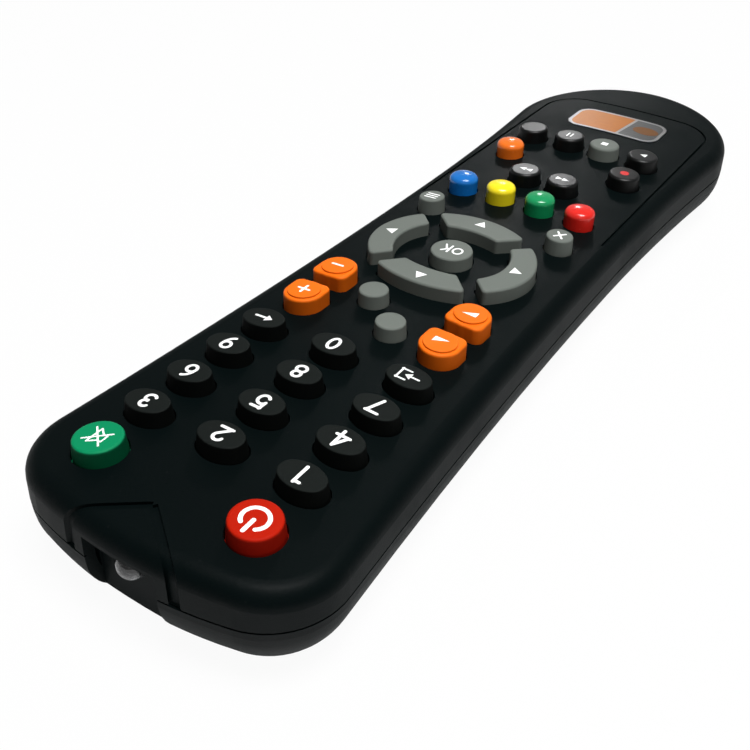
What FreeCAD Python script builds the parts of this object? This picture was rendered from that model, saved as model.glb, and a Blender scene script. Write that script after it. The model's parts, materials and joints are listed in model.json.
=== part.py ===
import FreeCAD, Part
import math
import os
import re
import Sketcher
from FreeCAD import Placement, Rotation, Vector

# A hand remote control for a tv box: a waisted two-part case, pressed keys on a
# keypad sheet and a circuit board, two AAA cells behind a hinged battery door.
# Millimetres. X runs across the case, +Y to the nose with the infrared diode,
# +Z out of the keys. The origin is on the table, under the middle of the case.

SIZES = [
    ("case_length", 206.0, "overall length"),
    ("drawn_length", 206.0, "the case length at which rows from the middle have the values given here"),
    ("nose_radius", 77.0, "plan radius of the nose"),
    ("corner_radius", 13.0, "plan radius of the nose corners"),
    ("waist_half_width", 24.8, "half the width at the narrowest place"),
    ("waist_place", 17.7, "how far the waist lies behind the middle"),
    ("nose_flank_radius", 1480.0, "plan radius of the flanks ahead of the waist"),
    ("tail_flank_radius", 645.0, "plan radius of the flanks behind the waist"),
    ("blend_radius", 27.7, "plan radius between flank and tail"),
    ("tail_radius", 22.0, "plan radius of the tail"),
    ("parting_height", 11.9, "height of the line between the two covers"),
    ("panel_height", 19.6, "height of the key panel along its middle"),
    ("crown_radius", 270.0, "radius of the panel across its width"),
    ("cover_taper", 2.0, "lean of the top cover's walls in degrees"),
    ("case_draft", 2.0, "lean of the bottom cover's walls in degrees"),
    ("cover_edge_radius", 3.3, "rounding round the key panel"),
    ("case_edge_radius", 10.3, "rounding round the underside"),
    ("wall", 2.0, "thickness of the side walls"),
    ("floor_thickness", 1.8, "thickness of the underside"),
    ("foot_rise", 0.3, "how far the feet stand out of the underside"),
    ("foot_sink", 0.5, "depth of the pockets of the feet"),
    ("foot_radius", 2.2, "radius of the feet"),
    ("foot_gap", 0.05, "gap round a foot in its pocket"),
    ("nose_foot_column", 13.5, "columns of the front feet"),
    ("nose_foot_place", 20.0, "front feet behind the nose"),
    ("tail_foot_column", 12.5, "columns of the back feet"),
    ("tail_foot_place", 23.4, "back feet ahead of the tail"),
    ("panel_thickness", 2.15, "thickness of the key panel in its middle"),
    ("panel_border", 5.0, "width of the thick border round the key pocket"),
    ("border_height", 16.0, "height where the thick border starts"),
    ("reveal_height", 0.35, "height of the shadow line between the covers"),
    ("reveal_depth", 0.4, "depth of the shadow line between the covers"),
    ("groove_depth", 0.55, "depth of the grooves in the panel"),
    ("nose_groove_width", 1.4, "width of the groove round the nose field"),
    ("nose_groove_place", 8.2, "point of the nose field behind the nose"),
    ("nose_groove_slope", 36.87, "angle of the nose field's sides in degrees"),
    ("panel_groove_width", 0.6, "width of the groove round the lower keys"),
    ("panel_groove_reach", 21.3, "half the width inside that groove"),
    ("panel_groove_start", 14.0, "where that groove starts behind the middle"),
    ("panel_groove_end", 16.8, "where that groove turns ahead of the tail"),
    ("panel_groove_corner", 8.5, "corner radius of that groove"),
    ("recess_half_width", 7.0, "half the width of the recess of the diode"),
    ("recess_depth", 3.2, "depth of that recess in the nose"),
    ("recess_height", 15.7, "top of that recess"),
    ("recess_wall", 2.0, "wall behind that recess"),
    ("badge_length", 24.0, "badge plate across the case"),
    ("badge_width", 12.6, "badge plate along the case"),
    ("badge_corner", 3.5, "corner radius of the badge plate"),
    ("badge_place", 28.8, "middle of the badge ahead of the tail"),
    ("badge_sink", 0.8, "depth of the badge pocket"),
    ("badge_rise", 0.2, "how far the badge stands proud"),
    ("badge_gap", 0.1, "gap round the badge plate"),
    ("key_clearance", 0.25, "gap round a key in its hole"),
    ("key_travel", 1.0, "how far a key is pressed"),
    ("flange_width", 0.6, "width of the flange that keeps a key in"),
    ("flange_thickness", 0.7, "thickness of that flange"),
    ("flange_play", 0.05, "gap over that flange"),
    ("plunger_radius", 1.2, "radius of the plunger under a key"),
    ("plunger_play", 0.05, "gap between a pressed key's plunger and the board"),
    ("plunger_gap", 0.4, "gap round that plunger in the keypad sheet"),
    ("number_half_length", 4.4, "half length of a number key at the panel"),
    ("number_half_width", 3.2, "half width of a number key at the panel"),
    ("number_end_radius", 2.7, "radius of the narrow ends of a number key"),
    ("number_inset", 0.35, "how much a number key narrows to its top"),
    ("number_rise", 2.8, "height of a number key over the panel"),
    ("number_edge", 0.25, "edge rounding of a number key"),
    ("number_column", 15.0, "side columns of the number keys"),
    ("number_row", 79.9, "first row of the number keys"),
    ("number_pitch", 9.64, "distance between rows of number keys"),
    ("power_radius", 4.25, "power and mute keys at the panel"),
    ("power_inset", 0.27, "how much those keys narrow"),
    ("power_rise", 2.7, "height of those keys over the panel"),
    ("power_edge", 0.5, "edge rounding of those keys"),
    ("power_row", 90.4, "row of those keys"),
    ("volume_radius", 3.8, "round side of a volume or channel key"),
    ("volume_flat", 3.7, "middle of such a key to its flat side"),
    ("volume_corner", 1.5, "corner radius of its flat side"),
    ("volume_shoulder", 3.0, "height of its shoulder over the panel"),
    ("volume_edge", 0.5, "edge rounding of its shoulder"),
    ("volume_disc", 3.1, "radius of its raised disc"),
    ("volume_rise", 3.35, "height of its disc over the panel"),
    ("disc_edge", 0.15, "edge rounding of its disc"),
    ("volume_column", 14.45, "columns of the volume and channel keys"),
    ("volume_upper_row", 40.0, "upper row of those keys"),
    ("volume_lower_row", 29.35, "lower row of those keys"),
    ("small_radius", 2.95, "small grey keys at the panel"),
    ("small_inset", 0.2, "how much those keys narrow"),
    ("small_edge", 0.35, "edge rounding of those keys"),
    ("small_rise", 2.7, "height of language and picture keys over the panel"),
    ("corner_key_radius", 2.9, "exit and menu keys at the panel"),
    ("corner_key_rise", 3.2, "height of those keys over the panel"),
    ("language_column", -3.9, "place of the language key across"),
    ("language_row", 39.3, "row of the language key"),
    ("picture_column", 4.3, "place of the picture key across"),
    ("picture_row", 32.2, "row of the picture key"),
    ("pad_row", 11.0, "row of the middle of the arrow keys"),
    ("pad_half_length", 17.2, "arrow ring, outside, half across"),
    ("pad_half_width", 14.8, "arrow ring, outside, half along"),
    ("side_inner_length", 11.7, "left and right keys, inside, half across"),
    ("side_inner_width", 11.0, "left and right keys, inside, half along"),
    ("end_inner_length", 12.8, "up and down keys, inside, half across"),
    ("end_inner_width", 8.8, "up and down keys, inside, half along"),
    ("pad_slot", 3.2, "width of the slots between the arrow keys"),
    ("pad_corner", 0.8, "corner radius of the arrow keys"),
    ("pad_rise", 2.8, "height of the arrow keys over the panel"),
    ("pad_edge", 0.45, "edge rounding of the arrow keys"),
    ("okay_radius", 4.3, "middle key at the panel"),
    ("okay_inset", 0.15, "how much the middle key narrows"),
    ("okay_rise", 2.6, "height of the middle key over the panel"),
    ("corner_column", 15.0, "columns of the exit and menu keys"),
    ("corner_row", -6.6, "row of the exit and menu keys"),
    ("dome_radius", 3.2, "colour keys at the panel"),
    ("dome_curve", 7.0, "sphere radius of their tops"),
    ("dome_rise", 4.1, "height of the colour keys over the panel"),
    ("dome_edge", 1.2, "edge rounding of their tops"),
    ("dome_inner_column", 4.7, "inner columns of the colour keys"),
    ("dome_outer_column", 14.0, "outer columns of the colour keys"),
    ("dome_row", -18.8, "row of the colour keys"),
    ("info_rise", 3.8, "height of the information key over the panel"),
    ("tape_radius", 3.7, "small black keys at the panel"),
    ("tape_inset", 0.25, "how much those keys narrow"),
    ("tape_rise", 3.0, "height of those keys over the panel"),
    ("tape_edge", 0.6, "edge rounding of those keys"),
    ("pair_column", 4.6, "columns of the rewind and forward keys"),
    ("pair_row", -30.4, "row of the rewind and forward keys"),
    ("side_column", 14.4, "columns of the record and information keys"),
    ("side_row", -42.4, "row of the record and information keys"),
    ("tape_inner_column", 4.5, "inner columns of the last row"),
    ("tape_outer_column", 14.2, "outer columns of the last row"),
    ("tape_row", -54.3, "the last row of keys"),
    ("board_top", 15.05, "height of the top of the circuit board"),
    ("board_thickness", 1.2, "thickness of the circuit board"),
    ("board_half_width", 20.6, "half the width of the circuit board"),
    ("board_nose_place", 11.5, "front edge of the circuit board behind the nose"),
    ("board_back_row", -62.0, "back edge of the circuit board"),
    ("board_corner", 3.0, "corner radius of the circuit board"),
    ("sheet_thickness", 0.6, "thickness of the keypad sheet"),
    ("sheet_margin", 0.4, "how far the sheet ends inside the board's edge"),
    ("post_radius", 2.0, "posts under the circuit board"),
    ("post_column", 16.0, "columns of those posts"),
    ("front_post_row", 80.0, "front row of those posts"),
    ("back_post_row", 20.0, "back row of those posts"),
    ("nose_screw_column", 6.8, "columns of the front screws"),
    ("nose_screw_place", 15.5, "front screws behind the nose"),
    ("tail_screw_column", 10.0, "columns of the back screws"),
    ("tail_screw_place", 18.0, "back screws ahead of the tail"),
    ("screw_radius", 1.1, "screw shank"),
    ("screw_head_radius", 2.4, "screw head"),
    ("screw_head_height", 1.6, "height of the screw head"),
    ("screw_seat", 3.2, "height of the seat of the screw heads"),
    ("screw_reach", 3.9, "how far a screw goes into the top cover"),
    ("screw_slot", 0.6, "width of the cross slot in a head"),
    ("screw_slot_reach", 1.4, "half the length of that slot"),
    ("screw_slot_depth", 0.8, "depth of that slot"),
    ("screw_hole_gap", 0.15, "gap round a shank in the bottom cover"),
    ("pilot_gap", 0.05, "gap round a shank in the top cover"),
    ("pilot_spare", 0.4, "room past the tip of a screw"),
    ("bore_gap", 0.3, "gap round a head in its bore"),
    ("lower_boss_radius", 3.6, "screw bosses of the bottom cover"),
    ("upper_boss_radius", 2.5, "screw bosses of the top cover"),
    ("boss_gap", 0.1, "gap between the bosses"),
    ("board_hole_gap", 0.4, "gap round the front bosses in the board"),
    ("cell_radius", 5.25, "radius of an AAA cell"),
    ("cell_length", 44.5, "length of an AAA cell with its button"),
    ("button_radius", 1.9, "radius of the cell's button"),
    ("button_height", 0.8, "height of the cell's button"),
    ("cell_edge", 0.5, "edge rounding of a cell"),
    ("cell_column", 5.6, "columns of the two cells"),
    ("cell_height", 7.4, "height of the middle of the cells"),
    ("bay_half_width", 11.1, "half the width of the cell bay"),
    ("bay_place", 31.6, "back end of the cell bay ahead of the tail"),
    ("spring_room", 5.5, "room in the bay for the springs"),
    ("bay_ceiling", 12.85, "height of the ceiling of the bay"),
    ("bay_wall", 1.2, "walls of the bay"),
    ("contact_thickness", 0.4, "thickness of the contact plates"),
    ("contact_half_width", 4.0, "half the width of a contact plate"),
    ("contact_base", 3.5, "lower edge of the contact plates"),
    ("contact_top", 11.5, "upper edge of the contact plates"),
    ("tab_half_width", 1.0, "half the width of the tabs to the board"),
    ("tab_gap", 0.2, "gap round those tabs"),
    ("spring_radius", 2.4, "radius of the contact springs"),
    ("wire_radius", 0.25, "wire of the contact springs"),
    ("spring_turns", 4.0, "turns of a contact spring"),
    ("dimple_radius", 2.0, "raised contact of the bridge plate"),
    ("dimple_height", 0.3, "height of that raised contact"),
    ("rest_gap", 0.05, "gap between a cell and its contacts"),
    ("door_half_width", 15.3, "half the width of the battery door"),
    ("door_front_lap", 4.4, "how far the battery door runs past the bay in front"),
    ("door_back_lap", 5.0, "how far the battery door runs past the bay behind"),
    ("door_thickness", 1.6, "thickness of the battery door"),
    ("door_corner", 2.0, "corner radius of the battery door"),
    ("door_gap", 0.15, "gap round the battery door"),
    ("door_front_gap", 0.3, "gap ahead of the door's front edge, which turns down through it"),
    ("ledge_width", 2.2, "ledge round the battery door"),
    ("ledge_top", 3.4, "height of that ledge"),
    ("hinge_reach", 1.8, "hinge axis ahead of the door's edge"),
    ("hinge_height", 0.9, "height of the hinge axis over the underside"),
    ("knuckle_radius", 0.75, "radius of a hinge knuckle"),
    ("knuckle_half_width", 3.0, "half the width of a hinge knuckle"),
    ("knuckle_column", 8.0, "columns of the hinge knuckles"),
    ("stub_radius", 0.5, "radius of the hinge stubs"),
    ("stub_length", 0.7, "length of the hinge stubs"),
    ("hinge_gap", 0.12, "gap round stubs and knuckles"),
    ("grip_half_width", 6.0, "half the width of the thumb grooves"),
    ("grip_width", 0.8, "width of a thumb groove"),
    ("grip_depth", 0.35, "depth of a thumb groove"),
    ("grip_pitch", 1.8, "distance between thumb grooves"),
    ("grip_place", 4.0, "first thumb groove from the door's back edge"),
    ("diode_radius", 2.5, "body of the infrared diode"),
    ("diode_height", 12.5, "height of the diode's axis"),
    ("diode_sink", 0.5, "how far the tip of the diode lies inside the nose"),
    ("diode_length", 8.3, "diode from its flange to its tip"),
    ("diode_flange_radius", 2.9, "flange of the diode"),
    ("diode_flange", 1.0, "thickness of that flange"),
    ("diode_gap", 0.1, "gap round the diode"),
    ("lead_column", 1.27, "the diode's leads from its middle"),
    ("lead_width", 0.5, "width of a lead"),
    ("lead_reach", 3.9, "how far the leads run before they turn up to the board"),
    ("lead_gap", 0.15, "gap round the leads in the board"),
    ("chip_half_length", 9.0, "controller chip, half across"),
    ("chip_half_width", 3.75, "controller chip, half along"),
    ("chip_height", 2.3, "thickness of the controller chip"),
    ("chip_standoff", 0.1, "gap between the chip and the board"),
    ("chip_row", 44.0, "row of the controller chip"),
    ("pin_pitch", 1.27, "distance between pins"),
    ("pin_width", 0.42, "width of a pin"),
    ("pin_foot", 1.3, "how far the pins reach out"),
    ("pin_thickness", 0.25, "thickness of a pin"),
    ("resonator_row", 32.0, "row of the resonator"),
    ("resonator_length", 8.0, "length of the resonator"),
    ("resonator_width", 3.4, "width of the resonator"),
    ("resonator_height", 3.0, "height of the resonator"),
    ("resonator_corner", 1.0, "corner radius of the resonator"),
    ("capacitor_radius", 3.15, "radius of the capacitor"),
    ("capacitor_length", 8.0, "length of the capacitor"),
    ("capacitor_row", 66.0, "row of the capacitor"),
    ("capacitor_column", -9.0, "place of the capacitor across"),
    ("transistor_row", 70.0, "row of the drive transistor"),
    ("transistor_column", 6.0, "place of the drive transistor across"),
    ("transistor_length", 4.6, "drive transistor across"),
    ("transistor_width", 3.6, "drive transistor along"),
    ("transistor_height", 2.4, "height of the drive transistor"),
    ("resistor_length", 2.0, "length of a chip resistor"),
    ("resistor_width", 1.25, "width of a chip resistor"),
    ("resistor_height", 0.55, "height of a chip resistor"),
    ("resistor_pitch", 3.2, "distance between chip resistors"),
    ("resistor_row", 56.0, "row of the chip resistors"),
]

size = {}
for alias, number, note in SIZES:
    size[alias] = number

PIN_COUNT = 14
RESISTOR_COUNT = 4
GRIP_COUNT = 4
SPARE = 1.0  # how far a tool runs past what it cuts
JOIN = 0.2  # how far pieces that are fused run into each other
TINY = 1e-3
HALF_TURN = 0.5  # the springs are swept in half turns
UP = Vector(0, 0, 1)
LIE_ALONG = Rotation(Vector(1, 0, 0), 90)
LIE_ACROSS = Rotation(Vector(0, 1, 0), 90)
BEGIN, FINISH, CENTRE = 1, 2, 3
AXIS_Y, ORIGIN = -2, -1

doc = FreeCAD.newDocument("TvBoxRemote")
sheet = doc.addObject("Spreadsheet::Sheet", "Sizes")
for row, (alias, number, note) in enumerate(SIZES, start=1):
    sheet.set(f"A{row}", alias)
    sheet.set(f"B{row}", str(number))
    sheet.set(f"C{row}", note)
    sheet.setAlias(f"B{row}", alias)
doc.recompute()


def cells(text):
    """An expression in which each size's name points at its cell."""
    return re.sub(r"[a-z][a-z_]*", lambda word: "Sizes." + word[0] if word[0] in size else word[0], text)


def bind(thing, name, value):
    """Sets a property to a number, or binds it to an expression of the sizes."""
    if isinstance(value, str):
        thing.setExpression(name, cells(value))
    else:
        setattr(thing, name, value)


def place(thing, at, turn=Rotation()):
    """Puts a thing at a place whose coordinates are numbers or expressions."""
    fixed = [0 if isinstance(value, str) else value for value in at]
    thing.Placement = Placement(Vector(*fixed), turn)
    for axis, value in zip("xyz", at):
        if isinstance(value, str):
            thing.setExpression(f".Placement.Base.{axis}", cells(value))
    return thing


def block(name, across, along, height):
    """A box between two limits on each axis."""
    box = doc.addObject("Part::Box", name)
    for side, (low, high) in zip(("Length", "Width", "Height"), (across, along, height)):
        box.setExpression(side, cells(f"({high}) - ({low})"))
    return place(box, (across[0], along[0], height[0]))


def rod(name, radius, length, at, turn=Rotation()):
    """A cylinder from a place, upright unless it is turned."""
    cylinder = doc.addObject("Part::Cylinder", name)
    bind(cylinder, "Radius", radius)
    bind(cylinder, "Height", length)
    return place(cylinder, at, turn)


def pillar(name, radius, column, row, low, high):
    """An upright cylinder between two heights."""
    return rod(name, radius, f"({high}) - ({low})", (column, row, low))


def crown(name, rise, column="0"):
    """The cylinder whose upper side lies a rise above the crowned panel."""
    reach = "case_length"
    return rod(name, f"crown_radius + {rise}", f"2 * {reach}",
               (f"-({column})", reach, "panel_height - crown_radius"), LIE_ALONG)


def cut(name, base, tool):
    result = doc.addObject("Part::Cut", name)
    result.Base = base
    result.Tool = tool
    result.Refine = True
    return result


def common(name, base, tool):
    result = doc.addObject("Part::Common", name)
    result.Base = base
    result.Tool = tool
    return result


def fuse(name, parts):
    result = doc.addObject("Part::MultiFuse", name)
    result.Shapes = parts
    result.Refine = True
    return result


def extrude(name, profile, way, length, taper=0):
    """Pushes a flat profile up or down and leans its walls inwards."""
    solid = doc.addObject("Part::Extrusion", name)
    solid.Base = profile
    solid.DirMode = "Custom"
    solid.Dir = Vector(0, 0, way)
    solid.Solid = True
    bind(solid, "LengthFwd", length)
    bind(solid, "TaperAngle", taper)
    return solid


def inset(name, profile, distance):
    """The profile moved inwards by a distance."""
    smaller = doc.addObject("Part::Offset2D", name)
    smaller.Source = profile
    smaller.setExpression("Value", cells(f"-({distance})"))
    return smaller


def rounded(name, base, radius, wanted):
    """Rounds the edges that the test picks."""
    doc.recompute()
    picked = [number for number, edge in enumerate(base.Shape.Edges, start=1) if wanted(edge)]
    result = doc.addObject("Part::Fillet", name)
    result.Base = base
    result.Edges = [(number, radius, radius) for number in picked]
    return result


def round_faces(name, base, radius, wanted):
    """Rounds the edges of the faces that the test picks."""
    doc.recompute()
    edges = [edge for face in base.Shape.Faces if wanted(face.Surface) for edge in face.Edges]
    return rounded(name, base, radius, lambda edge: any(edge.isSame(other) for other in edges))


def is_upright(edge):
    box = edge.BoundBox
    return max(box.XLength, box.YLength) < TINY and box.ZLength > TINY


def is_crown(surface):
    return isinstance(surface, Part.Cylinder) and surface.Radius > size["crown_radius"] / 2


def slab(name, across, along, height, corner):
    """A box with rounded upright edges."""
    box = block(name + "Blank", across, along, height)
    return rounded(name, box, corner, is_upright)


def middle(half):
    """The two limits of a width that lies evenly about the middle."""
    return (f"-({half})", half)


def meet(first, first_reach, second, second_reach, side):
    """Where circles about two points meet, on the left or right of the way between them."""
    way = second - first
    along = (first_reach ** 2 - second_reach ** 2 + way.Length ** 2) / (2 * way.Length)
    across = math.sqrt(first_reach ** 2 - along ** 2)
    way.normalize()
    return first + way * along + Vector(-way.y, way.x, 0) * across * side


def toward(start, end, reach):
    """The point at a distance from start on the way to end."""
    way = end - start
    way.normalize()
    return start + way * reach


def mirrored(point):
    return Vector(-point.x, point.y, 0)


def arc(centre, radius, start, end):
    """The arc about a centre from one point anticlockwise to another."""
    first = math.atan2(start.y - centre.y, start.x - centre.x)
    last = math.atan2(end.y - centre.y, end.x - centre.x)
    if last < first:
        last += 2 * math.pi
    return Part.ArcOfCircle(Part.Circle(centre, UP, radius), first, last)


def measure(sketch, name, formula, kind, *args):
    """Adds a dimension to a sketch and binds it to an expression."""
    index = sketch.addConstraint(Sketcher.Constraint(kind, *args))
    sketch.renameConstraint(index, name)
    sketch.setExpression(f"Constraints.{name}", cells(formula))


def case_outline():
    """The plan of the case at the parting line: ten arcs, each tangent to the next."""
    half = size["case_length"] / 2
    nose, corner, tail = size["nose_radius"], size["corner_radius"], size["tail_radius"]
    fore, aft, blend = size["nose_flank_radius"], size["tail_flank_radius"], size["blend_radius"]
    waist = Vector(size["waist_half_width"], -size["waist_place"], 0)
    nose_centre = Vector(0, half - nose, 0)
    tail_centre = Vector(0, tail - half, 0)
    fore_centre = waist + Vector(fore, 0, 0)
    aft_centre = waist + Vector(aft, 0, 0)
    corner_centre = meet(nose_centre, nose - corner, fore_centre, fore + corner, 1)
    blend_centre = meet(tail_centre, blend - tail, aft_centre, aft + blend, 1)
    nose_end = toward(nose_centre, corner_centre, nose)
    corner_end = toward(corner_centre, fore_centre, corner)
    blend_start = toward(blend_centre, aft_centre, blend)
    tail_start = toward(blend_centre, tail_centre, blend)

    sketch = doc.addObject("Sketcher::SketchObject", "CaseOutline")
    right = [arc(corner_centre, corner, corner_end, nose_end),
             arc(fore_centre, fore, corner_end, waist),
             arc(aft_centre, aft, waist, blend_start),
             arc(blend_centre, blend, tail_start, blend_start)]
    left = [arc(mirrored(blend_centre), blend, mirrored(blend_start), mirrored(tail_start)),
            arc(mirrored(aft_centre), aft, mirrored(blend_start), mirrored(waist)),
            arc(mirrored(fore_centre), fore, mirrored(waist), mirrored(corner_end)),
            arc(mirrored(corner_centre), corner, mirrored(nose_end), mirrored(corner_end))]
    front = arc(nose_centre, nose, nose_end, mirrored(nose_end))
    back = arc(tail_centre, tail, mirrored(tail_start), tail_start)
    sketch.addGeometry([front] + right + [back] + left, False)

    joints = [(0, BEGIN, 1, FINISH), (1, BEGIN, 2, BEGIN), (2, FINISH, 3, BEGIN), (3, FINISH, 4, FINISH),
              (4, BEGIN, 5, FINISH), (5, BEGIN, 6, FINISH), (6, BEGIN, 7, BEGIN), (7, FINISH, 8, BEGIN),
              (8, FINISH, 9, FINISH), (9, BEGIN, 0, FINISH)]
    for joint in joints:
        sketch.addConstraint(Sketcher.Constraint("Tangent", *joint))
    for first, second in ((1, 9), (2, 8), (3, 7), (4, 6)):
        sketch.addConstraint(Sketcher.Constraint("Equal", first, second))
    for number in (0, 5):
        sketch.addConstraint(Sketcher.Constraint("PointOnObject", number, CENTRE, AXIS_Y))
    sketch.addConstraint(Sketcher.Constraint("Symmetric", 2, CENTRE, 8, CENTRE, AXIS_Y))
    sketch.addConstraint(Sketcher.Constraint("Horizontal", 2, CENTRE, 3, CENTRE))
    sketch.addConstraint(Sketcher.Constraint("Horizontal", 8, CENTRE, 7, CENTRE))

    measure(sketch, "noseRadius", "nose_radius", "Radius", 0, nose)
    measure(sketch, "cornerRadius", "corner_radius", "Radius", 1, corner)
    measure(sketch, "foreRadius", "nose_flank_radius", "Radius", 2, fore)
    measure(sketch, "aftRadius", "tail_flank_radius", "Radius", 3, aft)
    measure(sketch, "blendRadius", "blend_radius", "Radius", 4, blend)
    measure(sketch, "tailRadius", "tail_radius", "Radius", 5, tail)
    measure(sketch, "noseReach", "case_length / 2 - nose_radius", "DistanceY",
            ORIGIN, BEGIN, 0, CENTRE, half - nose)
    measure(sketch, "tailReach", "case_length / 2 - tail_radius", "DistanceY",
            5, CENTRE, ORIGIN, BEGIN, half - tail)
    measure(sketch, "waistReach", "waist_half_width + nose_flank_radius", "DistanceX",
            ORIGIN, BEGIN, 2, CENTRE, fore_centre.x)
    measure(sketch, "waistPlace", "waist_place", "DistanceY", 2, CENTRE, ORIGIN, BEGIN, -waist.y)
    return place(sketch, (0, 0, "parting_height"))


outline = case_outline()
board_bottom = "board_top - board_thickness"
ceiling = "panel_height - panel_thickness"
flange_top = f"{ceiling} - flange_play"
flange_bottom = f"{flange_top} - flange_thickness"
recess_face = "case_length / 2 - recess_depth"
stretch = "(case_length / drawn_length)"
nose_screw_row = "(case_length / 2 - nose_screw_place)"
tail_screw_row = "(tail_screw_place - case_length / 2)"
bay_back = "(bay_place - case_length / 2)"
bay_front = f"({bay_back} + cell_length + spring_room + 2 * contact_thickness)"
door_front = f"({bay_front} + door_front_lap)"
door_back = f"({bay_back} - door_back_lap)"
board_front = "(case_length / 2 - board_nose_place)"
board_back = f"(board_back_row * {stretch})"
SCREWS = [("Nose", "nose_screw_column", nose_screw_row), ("Tail", "tail_screw_column", tail_screw_row)]
FEET = [("Nose", "nose_foot_column", "(case_length / 2 - nose_foot_place)"),
        ("Tail", "tail_foot_column", "(tail_foot_place - case_length / 2)")]
SIDES = [("Right", 1), ("Left", -1)]


def both_sides(pairs):
    """The name, column and row of each piece that stands in pairs."""
    return [(end + side, f"{way} * {column}", row) for end, column, row in pairs for side, way in SIDES]


def number_outline():
    """The plan of a number key: an oval of four tangent arcs."""
    long_half, short_half = size["number_half_length"], size["number_half_width"]
    ends = size["number_end_radius"]
    sides = (long_half ** 2 + short_half ** 2 - 2 * long_half * ends) / (2 * (short_half - ends))
    end_centre = Vector(long_half - ends, 0, 0)
    side_centre = Vector(0, short_half - sides, 0)
    joint = toward(side_centre, end_centre, sides)
    upper, lower = joint, Vector(joint.x, -joint.y, 0)
    sketch = doc.addObject("Sketcher::SketchObject", "NumberOutline")
    sketch.addGeometry([arc(end_centre, ends, lower, upper),
                        arc(side_centre, sides, upper, mirrored(upper)),
                        arc(mirrored(end_centre), ends, mirrored(upper), mirrored(lower)),
                        arc(side_centre * -1, sides, mirrored(lower), lower)], False)
    for first in range(3):
        sketch.addConstraint(Sketcher.Constraint("Tangent", first, FINISH, first + 1, BEGIN))
    sketch.addConstraint(Sketcher.Constraint("Coincident", 3, FINISH, 0, BEGIN))
    sketch.addConstraint(Sketcher.Constraint("PointOnObject", 1, CENTRE, AXIS_Y))
    sketch.addConstraint(Sketcher.Constraint("Symmetric", 0, CENTRE, 2, CENTRE, AXIS_Y))
    sketch.addConstraint(Sketcher.Constraint("Symmetric", 0, CENTRE, 2, CENTRE, ORIGIN, BEGIN))
    for first, second in ((0, 2), (1, 3)):
        sketch.addConstraint(Sketcher.Constraint("Equal", first, second))
    measure(sketch, "ends", "number_end_radius", "Radius", 0, ends)
    measure(sketch, "sides", "(number_half_length^2 + number_half_width^2"
            " - 2 * number_half_length * number_end_radius)"
            " / (2 * (number_half_width - number_end_radius))", "Radius", 1, sides)
    measure(sketch, "reach", "number_half_length - number_end_radius", "DistanceX",
            ORIGIN, BEGIN, 0, CENTRE, end_centre.x)
    return sketch


number_plan = number_outline()


def number_prism(name, grow, low, high):
    """An upright oval column, larger all round by grow."""
    plan = number_plan
    if grow != "0":
        plan = inset(name + "Plan", number_plan, f"-({grow})")
    solid = extrude(name, plan, 1, f"({high}) - ({low})")
    return place(solid, (0, 0, low))


def round_prism(radius):
    """Makes upright round columns of one radius."""
    return lambda name, grow, low, high: pillar(name, f"{radius} + {grow}", 0, 0, low, high)


def volume_prism(way):
    """Makes upright columns with one flat side, towards +Y or -Y."""
    def make(name, grow, low, high):
        disc = pillar(name + "Disc", f"volume_radius + {grow}", 0, 0, low, high)
        reach = f"{way} * (volume_flat + {grow})"
        along = ("0", reach) if way > 0 else (reach, "0")
        grown = size["key_clearance"] if "clearance" in grow else size["flange_width"]
        corner = size["volume_corner"] + (grown if grow != "0" else 0)
        side = block(name + "Side", middle(f"volume_radius + {grow}"), along, (low, high))
        doc.recompute()
        flat = rounded(name + "Flat", side, corner,
                       lambda edge: is_upright(edge) and abs(edge.BoundBox.YMin) > JOIN)
        return fuse(name, [disc, flat])
    return make


def ring_prism(turn, inner_length, inner_width):
    """Makes upright columns in the shape of one quarter of the arrow ring."""
    def make(name, grow, low, high):
        height = f"({high}) - ({low})"

        def ellipse(part, half_length, half_width, change):
            plan = doc.addObject("Part::Ellipse", name + part + "Plan")
            bind(plan, "MajorRadius", f"{half_length} {change} {grow}")
            bind(plan, "MinorRadius", f"{half_width} {change} {grow}")
            return extrude(name + part, place(plan, (0, 0, low)), 1, height)

        outer = ellipse("Outer", "pad_half_length", "pad_half_width", "+")
        inner = ellipse("Inner", inner_length, inner_width, "-")
        quarter = doc.addObject("Part::Box", name + "Quarter")
        for side in ("Length", "Width"):
            bind(quarter, side, "2 * pad_half_length")
        bind(quarter, "Height", height)
        away = f"(pad_slot / sqrt(2) - {grow} * sqrt(2))"
        angle = math.radians(turn)
        place(quarter, (f"{math.cos(angle):.0f} * {away}", f"{math.sin(angle):.0f} * {away}", low),
              Rotation(UP, turn - 45))
        plain = common(name + "Sector", cut(name + "Ring", outer, inner), quarter)
        return rounded(name, plain, size["pad_corner"], is_upright)
    return make


def narrowing(name, radius_inset, rise, low):
    """A cone that continues a round key upwards and narrows it."""
    radius, change = radius_inset
    cone = doc.addObject("Part::Cone", name)
    bind(cone, "Radius1", radius)
    bind(cone, "Radius2", f"{radius} - {change} * ({rise} + {SPARE}) / {rise}")
    bind(cone, "Height", f"{rise} + {SPARE}")
    return place(cone, (0, 0, low))


def narrowing_oval(name, rise, low):
    """The same for an oval key."""
    solid = extrude(name, number_plan, 1, f"{rise} + {SPARE}", f"-atan(number_inset / {rise})")
    return place(solid, (0, 0, low))


def panel_level(column):
    """The height of the crowned panel at a column."""
    return f"(panel_height - ({column})^2 / (2 * crown_radius))"


def topped(name, solid, column, rise, edge):
    """Cuts a key to a rise over the panel and rounds the edge of its top."""
    trimmed = common(name + "Trimmed", solid, crown(name + "Crown", rise, column))
    return round_faces(name + "Rounded", trimmed, size[edge], is_crown)


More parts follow.
